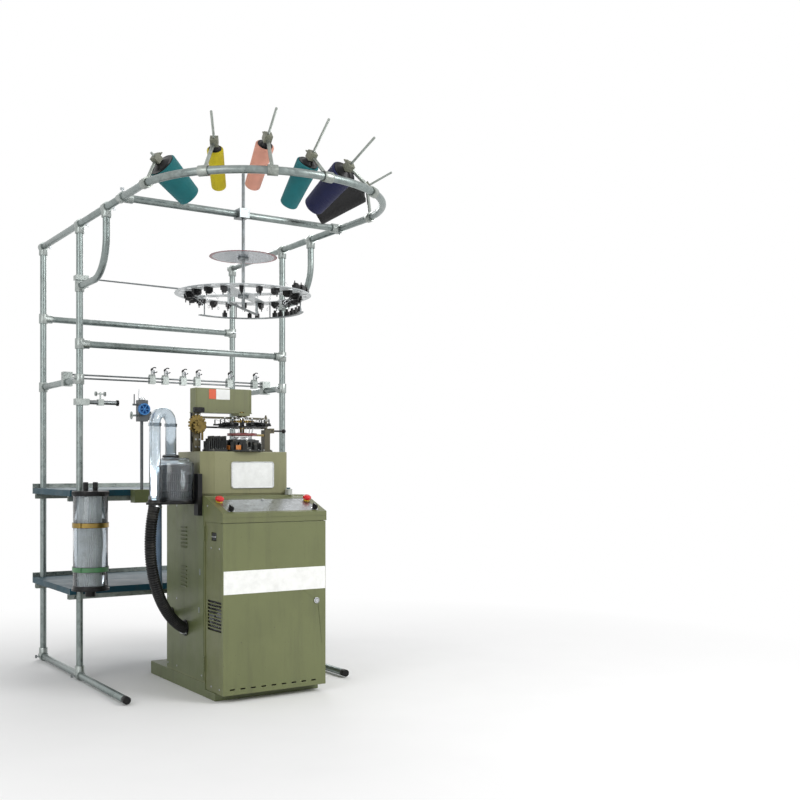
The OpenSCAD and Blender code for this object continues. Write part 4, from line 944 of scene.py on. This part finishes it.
# %% Strap the canister
band_green = enamelled("band_green", (74, 128, 84), 0.4, 0.4)
strap, towards_post = clip(87.35, 22.5, 0.9), facing((0, 0, 1), (0.8, -1, 0))
for name, z, material in [("upper_band", 786, brass), ("lower_band", 568, band_green)]:
    piece(name, moved(strap, mm(*canister, z), towards_post), material)
rim = ring_shape(pairs(86.6, 0, 89.4, 0.6, 90, 3, 90, 11, 89.4, 13.4, 86.6, 14), 64)
grip_at, grip_turn = around_axis(np.arange(0, 360, 10), 90.3, 937.5, canister)
inwards = grip_turn[:, [1, 0, 2]] * [[1], [-1], [1]]
grips = repeated(plate_shape(4, 2.2, 13, 1, 0.4, 2), grip_at, inwards)
piece("canister_lid_rim", joined(moved(rim, mm(*canister, 937)), grips), black_plastic)

# %% [markdown]
# ## Suction jar
# The jar catches the lint and the air that the machine sucks off the needles. A dark
# fluted basket stands inside it, and two rings grip the neck. Its radius steps between
# hoops and fluted bands, whose wall goes r = 73 + 1.6 cos(48 turn).

# %% Make the basket
turn = circle(192)
steps = (960 + 40 * np.arange(3)[:, None] + [0, 1, 6, 7]).ravel()
level = np.concatenate([[920, 921, 930, 931], steps, [1076, 1082, 1086]])[:, None]
hoop = np.array([60, 76, 76, 73] + 3 * [73, 76, 76, 73] + [73, 66, 40])[:, None]
basket = polar(hoop + (hoop == 73) * 1.6 * np.cos(48 * turn), turn, level) / 1000
piece("jar_basket", moved(tube_shape(basket), mm(-330, 30, 0)), black_plastic)

# %% Make the neck rings
neck, return_tube = (-352, 30), (-449, -20)
neck_ring = ring_shape(pairs(35.2, 0, 39, 0.6, 39.6, 2, 39.6, 5, 39, 6.4, 35.2, 7), 48)
piece("neck_rings", repeated(neck_ring, [mm(*neck, z) for z in (1104, 1118.5)]), black_rubber)
tube_joint = ring_shape(pairs(26.2, 0, 30, 1, 30, 15, 26.2, 16), 40)
joint_at = [mm(*return_tube, 925), mm(*return_tube, 1262), mm(*neck, 1262)]
joint_clear = clear_finish("joint_clear", (190, 198, 204), 0.25)
piece("tube_joints", repeated(tube_joint, joint_at), joint_clear)

# %% [markdown]
# ## Needles and sinkers
# A latch needle slides in every groove of the cylinder: a thin stem with a tiny hook
# that catches the yarn. Between the needles lie the sinkers, thin hooked blades that
# hold the fabric down. Each is one small shape; `repeated` sets a copy at every angle
# and turns it outward. They ride on the turning cylinder.

# %% Set the needles
grooves = np.arange(72) * 5.0
a = np.linspace(np.pi, -0.35, 8)
hook = [(1.15 + x, 0, 3.4 + z) for x, z, _ in polar(1.15, a, 0)]
line = mm(*[(0, 0, z) for z in (-34, -20, -6, 2)], *hook)
thick = [0.62, 0.62, 0.5, 0.42, *np.linspace(0.4, 0.28, 8)]
needle = carried(line, thick, 5, ring=(0, 1, 0))
latch_line = mm((0.2, 0, -2), (1, 0, -3.4), (1.9, 0, -5.4))
latch = carried(latch_line, (0.3, 0.34, 0.22), 4, ring=(0, 1, 0))
needles = repeated(joined(needle, latch), *around_axis(grooves, 46.5, 1218.5))
piece("latch_needles", needles, bright_steel, "spindle")

# %% Set the sinkers
throat = pairs(0, 0.4, 0.6, 3.4, 1.8, 4.4, 2.6, 3.2, 2.2, 1.9)
outline = np.concatenate([throat, pairs(13, 1.9, 14, 3.2, 15.4, 3.2, 15.4, 0, 0, 0)])
sinkers = repeated(blade(outline, 0.7), *around_axis(grooves + 2.5, 48.8, 1205.2))
piece("sinkers", sinkers, steel, "spindle")

# %% [markdown]
# ## Yarn feeders
# Each feeder has a thin steel tube that carries its yarn over the edge of the dial
# down to the hooks, a white ceramic eyelet at each end, and a return spring. The tube
# follows a Bezier curve, which leaves the arm level and arrives nearly upright.


# %% Helper for a spring
def coil(start, end, radius, wire, turns, per_turn=10):
    """A spring between two points, in mm: a helix x = r cos a, y = r sin a along the line."""
    start, end = mm(start, end)
    a = np.linspace(0, 2 * np.pi * turns, int(turns * per_turn))
    helix = polar(radius / 1000, a, np.linalg.norm(end - start) * a / a[-1])
    return moved(carried(helix, wire, 5, ring=(0, 0, 1)), start, facing(end - start))


# %% Bend the feeder tubes
feeder_angles = [188, 206, 226, 246, 266, 286, 306, 330, 352, 20, 160]
bead = ring_shape(pairs(1.4, -1.2, 3.2, -1.2, 3.9, 0, 3.2, 1.2, 1.4, 1.2, 1.1, 0), 20)
tubes, beads, springs = [], [], []
for i, axes in enumerate(around_axis(feeder_angles, 0, 0)[1]):
    outer, lift = 122 + 8 * (i % 3), 4 * (i % 2)
    path = bend((outer, 0, 1304 + lift), (92, 0, 1292), (51, 0, 1285), (49.8, 0, 1232))
    tubes.append(moved(carried(path, 1.1, 8, ring=(0, 1, 0)), axes=axes))
    for at, towards in [(path[0], path[0] - path[1]), (path[-1], path[-1] - path[-2])]:
        beads.append(moved(moved(bead, at, facing(towards)), axes=axes))
    spring = coil((74, 4, 1284.5 + lift), (106, 4, 1285.5 + lift), 2.2, 0.4, 9)
    springs.append(moved(spring, axes=axes))
piece("feeder_tubes", joined(*tubes), bright_steel)
piece("feeder_eyelets", joined(*beads), white_plastic)
piece("feeder_springs", joined(*springs), steel)

# %% Tension fingers over the dial gear
finger_line = bend((11.5, 0, 1313), (22, 0, 1324), (31, 0, 1314), (34, 0, 1300.5), 14)
finger = carried(finger_line, np.linspace(2.1, 1.1, 14), 6, ring=(0, 1, 0))
fingers = repeated(finger, *around_axis(np.arange(0, 360, 24), 0, 0))
finger_ring = ring_shape(pairs(11.2, 0, 15, 0.5, 15, 6.5, 11.2, 7), 32)
piece("gear_fingers", joined(fingers, moved(finger_ring, mm(0, 0, 1306.5))), bright_steel, "dial_unit")

# %% [markdown]
# ## Details round the drum
# Springs return the pattern levers, an orange cam shows in one port of the drum, and
# cap screws hold the drum down. A cap screw is an outline turned round its axis, with
# the socket as a dip in its head.


# %% Helper for a cap screw
def cap_screw(r, h, around=20):
    """A screw head of some radius and height in mm: a rounded rim, and a socket in the top."""
    socket = (0.46 * r, 0.45 * h, 0.001 * r, 0.4 * h)
    return turned(pairs(r, 0, r, h - 0.2 * r, 0.8 * r, h, 0.5 * r, h, *socket), around)


# %% Springs of the lever bank
bank_springs = []
for i in range(9):
    x = -190 + 10.5 * i
    bank_springs.append(coil((x, -46, 1162), (x + 9, 14, 1190 + 12 * (i % 3)), 2.4, 0.55, 22, 9))
piece("bank_springs", joined(*bank_springs), bright_steel)

# %% Screws and cams
drum_marks, ring_marks = np.arange(10) * 36 + 18.0, np.arange(6) * 60.0
piece("drum_screws", repeated(cap_screw(3.4, 3), *around_axis(drum_marks, 90, 1156.1)), steel)
cams = repeated(plate_shape(10, 24, 22, 2, 1), *around_axis([198, 162, 234], 88.5, 1156.5))
piece("port_cams", cams, enamelled("orange_paint", (206, 122, 40), 0.4, 0.3))
piece("ring_screws", repeated(cap_screw(3, 2.6), *around_axis(ring_marks, 58, 1237.1)), steel)

# %% Trim on the columns and the upper box
patch = moved(plate_shape(36, 47, 1.4), mm(-137, 39.9, 1425.5), to_front)
piece("orange_patch", patch, enamelled("patch_paint", (206, 84, 46), 0.4, 0.2))
blank = moved(plate_shape(72, 50, 1.2), mm(-82, 39.9, 1425.5), to_front)
piece("blank_plate", blank, white_plastic)
block = moved(plate_shape(54, 24, 16, 3, 1.2), mm(-212, 37.9, 1347), to_front)
bolts = repeated(cap_screw(4.2, 3), mm((-228, 22, 1347), (-196, 22, 1347)), to_front)
piece("corner_block", joined(block, bolts), black_plastic)
rail_steps = [(0, 5), (40, 5), (44, 8), (70, 8), (74, 5), (110, 5), (114, 8), (140, 8), (144, 5), (186, 5)]
rail_line = mm((0, 0), *[(x, z) for z, x in rail_steps], (0, 186))
piece("column_rail", moved(blade(rail_line, 10), mm(-241, 60, 1148.3)), black_steel)
nut_at = [mm(x, 39.8, z) for x in (-224, -206) for z in (1170, 1206, 1324)]
piece("column_bolts", repeated(turned(pairs(5, 0, 5, 4, 4, 5), 6), nut_at, to_front), steel)
stud_at = [mm(x, y, 1156.1) for x in (137, 177) for y in (40, 80)]
piece("foot_bolts", repeated(turned(pairs(5, 0, 5, 3, 4, 4), 6), stud_at), steel)

# %% Chrome frame of the name plate
frame_line = np.insert(rounded(226, 129, 14, 11.5, 8), 1, 0, axis=1) / 1000 + mm(25, -70.2, 1035.5)
piece("chrome_frame", looped(frame_line, 2.4, (0, 1, 0)), bright_steel)

# %% [markdown]
# ## Trim of the cabinet
# Screws hold the sheet-metal panels, a flush latch opens the front box, a wire guard
# covers the fan, and a white band runs across the door. The band is left plain. It
# rides on the door, so it swings with it.

# %% Panel screws
panel_face, edge_face, box_face, right_face = -236.6, -233.1, -230.1, 306.1
pan_head = turned(pairs(4.6, 0, 4.6, 0.8, 3.6, 2, 1.6, 2.6, 0.6, 2.6, 0.4, 1.6), 16)
side_rows = [(884, (242, -62, 356)), (428, (242, 356)), (96, (242, -62, 356))]
left_at = [(panel_face, y, z) for z, row in side_rows for y in row]
left_at.append((edge_face, -124, 893))
left_at += [(box_face, y, z) for z in (60, 700) for y in (-158, -250)]
right_spots = [(-60, 890), (340, 890), (-60, 110), (340, 110), (140, 890)]
right_at = [(right_face, y, z) for y, z in right_spots]
left_screws = repeated(pan_head, mm(*left_at), to_left)
right_screws = repeated(pan_head, mm(*right_at), to_right)
piece("panel_screws", joined(left_screws, right_screws), steel)

# %% Hinge knuckles and tabs at the seam
knuckle_z = 14 * np.arange(5)[:, None] + [0.6, 0.6, 13.4, 13.4]
knuckle_r = np.broadcast_to([1.5, 4, 4, 1.5], knuckle_z.shape)
knuckles = turned(np.stack([knuckle_r, knuckle_z], -1).reshape(-1, 2) / 1000, 16)
hinge_at = [mm(-236.4, -89.5, z) for z in (728, 120)]
piece("seam_hinges", repeated(knuckles, hinge_at), side_paint)
tab_rows = [(14, 30, -42, 580), (12, 26, -32, 400)]
tabs = [moved(plate_shape(w, h, 1.6, 1.5), mm(-236.5, y, z), to_left) for w, h, y, z in tab_rows]
piece("seam_tabs", joined(*tabs), rail_zinc)

# %% Flush latch
cup = moved(plate_shape(50, 34, 1.5, 3), mm(-226.4, -187, 753), to_left)
latch_bar = bend((-228, -207, 753), (-233, -205, 753), (-233, -190, 753), (-230, -168, 753), 16)
piece("latch_cup", cup, black_plastic)
piece("latch_grip", carried(latch_bar, np.linspace(4.6, 3.4, 16), 12, ring=(0, 0, 1)), steel)

# %% Fan guard
guard = mm(-226.2, -193, 389)
hoops = [polar(radius, circle(48), 0)[:, [2, 0, 1]] + guard for radius in mm(14, 26, 38, 50, 62)]
piece("fan_guard", joined(*[looped(line, 0.9, (1, 0, 0), 6) for line in hoops]), steel)
fan_back = plate_shape(150, 136, 2, 6)
piece("fan_back", moved(fan_back, guard + mm(4.2, 0, 0), to_left), black_plastic)

# %% White band on the door
band_white = plastic("band_white", (240, 241, 238), 0.35, 0.1)
band = blade(pairs(-227.5, 600, 299.5, 600, 299.5, 494, -227.5, 494), 0.5)
piece("door_band", moved(band, mm(0, -289.15, 0)), band_white, "door")

# %% [markdown]
# ## Small parts of the console
# Rings under the stop buttons, a pointer line on each knob and a few screws. The
# console slopes, so each part is placed in the slope's own three directions: along the
# console, up the slope, and out of it.

# %% Directions of the sloping top
front_edge, back_edge = np.array([0, -289.0, 863]), np.array([0, -130.0, 924])
slope = unit(back_edge - front_edge)
out_of = np.cross((1, 0, 0), slope)
console_axes = np.array([[1.0, 0, 0], slope, out_of])


def on_console(x, y, lift=0.0):
    """A point on the slope in metres, lifted out of it; the given numbers are mm."""
    t = (y - front_edge[1]) / (back_edge - front_edge)[1]
    return mm(*(front_edge + t * (back_edge - front_edge) + out_of * lift + [x, 0, 0]))


# %% Place them
button_ring = ring_shape(pairs(9.2, 0, 16, 0.4, 16.6, 2.6, 15, 4.4, 9.2, 4.4), 40)
ring_at = [on_console(x, -161, 0.05) for x in (-192, 268)]
ring_yellow = plastic("ring_yellow", (214, 178, 40), 0.35, 0.1)
piece("button_rings", repeated(button_ring, ring_at, console_axes), ring_yellow)
knob_ring = ring_shape(pairs(9.2, 0, 16.5, 0, 17, 0.8, 15.5, 1.6, 9.2, 1.6), 40)
knob_at = [on_console(x, -259, 0.05) for x in (-178, 258)]
piece("knob_rings", repeated(knob_ring, knob_at, console_axes), bright_steel)
pointer = plate_shape(1.6, 20, 0.6, 0.7, 0.2, 3)
for name, x, body in [("pointer_left", -178, "knob_l"), ("pointer_right", 258, "knob_r")]:
    at = on_console(x, -259, 23.9) + slope * mm(6)
    piece(name, moved(pointer, at, console_axes), white_plastic, body)
corner_at = [on_console(x, y, -0.5) for x in (-192, 36, 264) for y in (-270, -143)]
piece("console_screws", repeated(cap_screw(2.8, 1.6), corner_at, console_axes), steel)

# %% Lock face
lock_line = pairs(7.4, 0, 11, 0, 13.4, 0.6, 13.8, 1.8, 12.4, 3, 8.4, 3, 7.4, 2.2)
lock_cup = moved(ring_shape(lock_line, 36), mm(252, -292, 439), to_front)
piece("lock_rim", lock_cup, bright_steel, "door")

# %% [markdown]
# ## Stop motions and their wires
# Each yarn runs through a small black sensor under the large disc. A wire arm with an
# eyelet rests on the yarn and drops when the yarn breaks, which stops the machine. The
# sensors are solids already, so only the arms, the eyelets and the terminals are made
# here: wires carried along bent paths, and repeated around the rod.

# %% Wire arms, eyelets and terminals
rod = (-6, -26.85)
sensor_marks = (np.arange(20) + 0.5) * 18
outer_marks = [-62, -51, -38, -27, -14, -3, 10]
eyelet = looped(polar(0.006, circle(20), 0)[:, [0, 2, 1]], 1.1, (0, 1, 0), 6)
arm = carried(bend((0, 0, 0), (-18, 4, 3), (-34, 8, -6), (-46, 8, -20), 14), 1.1, 6)
wire_arm = joined(arm, moved(eyelet, mm(-46, 8, -26)))
inner_at = around_axis(sensor_marks, 252, 1889, rod)
piece("stop_arms", repeated(wire_arm, *inner_at), bright_steel)
up_arm = moved(wire_arm, axes=np.diag([1.0, -1, -1]))
outer_at = around_axis(outer_marks, 297, 1924, rod)
piece("upper_stop_arms", repeated(up_arm, *outer_at), bright_steel)
terminal = joined(plate_shape(26, 14, 3), moved(cap_screw(3, 2, 12), mm(8, 0, 3)))
terminal_at = around_axis(sensor_marks, 261, 1908.2, rod)
piece("stop_terminals", repeated(terminal, *terminal_at), clamp_zinc)

# %% [markdown]
# ## Guides on the rear rods
# Every block on the rear rods carries a black yarn guide: a post with a beak above and
# a curl below, and a pair of dished discs that pinch the yarn. The dishes are turned
# from one outline, whose rim rises as the square of the radius.

# %% Yarn guides and tension discs
guide_at = [mm(x, 852, 1600) for x in (-135, -60, 44, 127, 322, 479)]
beak = carried(bend((0, 0, 4), (2, 0, 16), (14, 0, 22), (24, 0, 16), 16), 3, 8)
curl = carried(bend((0, 0, 2), (6, 0, -10), (20, 0, -12), (30, 0, -4), 16), 2.8, 8)
post = turned(pairs(5.5, -2, 7.5, 0, 7.5, 8, 5, 11, 3.5, 14), 20)
piece("yarn_guides", repeated(joined(post, beak, curl), guide_at), black_plastic)
dish_r = np.linspace(0.6, 13, 9)
dish_line = np.stack([dish_r, 3.2 * (dish_r / 13) ** 2], -1)
dish = turned(np.concatenate([dish_line, dish_line[::-1] + [0, 0.9]]) / 1000, 28)
dish_pin = turned(pairs(1.4, -10, 2, -9, 2, 9, 1.4, 10), 12)
dish_arm = carried(bend((0, -4, -10), (0, -9, -9), (0, -14, -9), (0, -20, -10), 8), 1.8, 8)
dishes = [(dish, 1.5, to_right), (dish, -1.5, to_left), (dish_pin, 0, to_right)]
held = [moved(shape, mm(x, -20, -10), axes) for shape, x, axes in dishes]
piece("tension_dishes", repeated(joined(*held, dish_arm), guide_at), bright_steel)

# %% [markdown]
# ## Trim of the yarn feeder
# The feeder stands on a pole behind the machine. Beside its blue wheel the picture has
# a silver cap, a second upright rod and a thin grey disc on a short shaft.

# %% Cap, rod and thin disc
cap = turned(pairs(17, 0, 18, 2, 18, 7, 15, 12, 9, 15, 0.5, 16), 40)
piece("feeder_cap", moved(cap, mm(-284, 598, 1420.2)), bright_steel)
upright = carried(bend((0, 0, 0), (-6, 0, 30), (2, 0, 34), (0, 0, 57), 16), 2.2, 8)
piece("feeder_rod", moved(upright, mm(-301, 597, 1420)), bright_steel)
thin = ring_shape(pairs(4, -1, 21, -0.6, 21, 0.6, 4, 1), 48)
shaft = turned(pairs(4, -5, 5, -4, 5, 0, 5, 48, 4, 49), 20)
piece("feeder_disc", moved(joined(thin, shaft), mm(-343, 591, 1340), to_right), rail_zinc)

# %% Box beside the head
box_low = moved(plate_shape(22, 40, 22, 3, 1), mm(212, -80, 938.4))
box_lid = moved(plate_shape(23, 41, 5, 3, 1), mm(212, -80, 960.6))
lid_spots = [mm(x, y, 965.6) for x in (205, 219) for y in (-95, -65)]
lid_screws = repeated(cap_screw(2, 1.5, 12), lid_spots)
box_grey = plastic("box_grey", (176, 180, 174), 0.4, 0.2)
piece("terminal_box", joined(box_low, box_lid, lid_screws), box_grey)

# %% [markdown]
# ## Floor, light and background
# The floor is a wide pale disc. Near the machine it shows the shadow; further out it
# fades to plain white, so that it meets the white background without a line. The
# background is white only where the camera, a reflection or clear plastic looks at it;
# the light that it sheds on the machine is weaker.


# %% Helper for rays that see the white
def looked_at(tree):
    """1 for rays of the camera, of reflections and through clear plastic, and 0 for light."""
    rays = tree.nodes.new("ShaderNodeLightPath").outputs
    seen = plus(rays["Is Camera Ray"], rays["Is Glossy Ray"])
    return plus(seen, rays["Is Transmission Ray"], True)


# %% Make the floor
reach = np.array([0.0001, 2.0, 5.0, 40.0])[:, None]
floor_points = polar(reach, circle(64), -0.0006).reshape(-1, 3)
floor_mesh = bpy.data.meshes.new("floor")
floor_mesh.from_pydata(floor_points.tolist(), [], quads(4, 64).tolist())
floor_mesh.flip_normals()
link("floor", floor_mesh)

floor_white, tree, shader = material_of("floor_white")
place = here(tree)
mottle = drift(place, 3, 3.0, 0.985, 1.0)
fill(shader, {"Base Color": shaded(paint(243, 243, 243), mottle)})
fill(shader, {"Roughness": 0.9, "Specular IOR Level": 0.1})
fade = times(remap(vectors("LENGTH", place)["Value"], 1.5, 3.6), looked_at(tree))
glow = add(tree, "Emission", {"Color": (1, 1, 1, 1), "Strength": 1.0})
mix = add(tree, "MixShader", {0: fade, 1: shader.outputs[0], 2: glow.outputs[0]})
fill(tree.nodes["Material Output"], {"Surface": mix.outputs[0]})
floor_mesh.materials.append(floor_white)

# %% Make the white surroundings
world = bpy.data.worlds.new("studio")
bpy.context.scene.world = world
world.use_nodes = True
tree = world.node_tree
tree.nodes.clear()
room = add(tree, "Background", {"Color": (1, 1, 1, 1), "Strength": 0.62})
white = add(tree, "Background", {"Color": (1, 1, 1, 1), "Strength": 1.0})
mix = add(tree, "MixShader", {0: looked_at(tree), 1: room.outputs[0], 2: white.outputs[0]})
add(tree, "OutputWorld", {"Surface": mix.outputs[0]})


# %% Helper that hangs a lamp
def soft_lamp(name, place, aim, size, power):
    """A square lamp at a place, turned so that it shines at its aim."""
    data = bpy.data.lights.new(name, "AREA")
    data.shape = "RECTANGLE"
    data.size, data.size_y = size
    data.energy = power
    turned_to = Matrix(facing(np.subtract(place, aim)).T.tolist()).to_4x4()
    link(name, data).matrix_world = Matrix.Translation(place) @ turned_to


# %% Light the machine
soft_lamp("key", (2.6, -4.2, 3.6), (0, 0, 1.1), (2.2, 2.2), 150)
soft_lamp("fill", (-4.6, -2.4, 2.6), (0, 0.2, 1.1), (2.4, 2.4), 60)
soft_lamp("back", (1.5, 4.6, 3.6), (0, 0.4, 1.2), (2.6, 2.0), 80)
bpy.context.scene.view_settings.view_transform = "Standard"
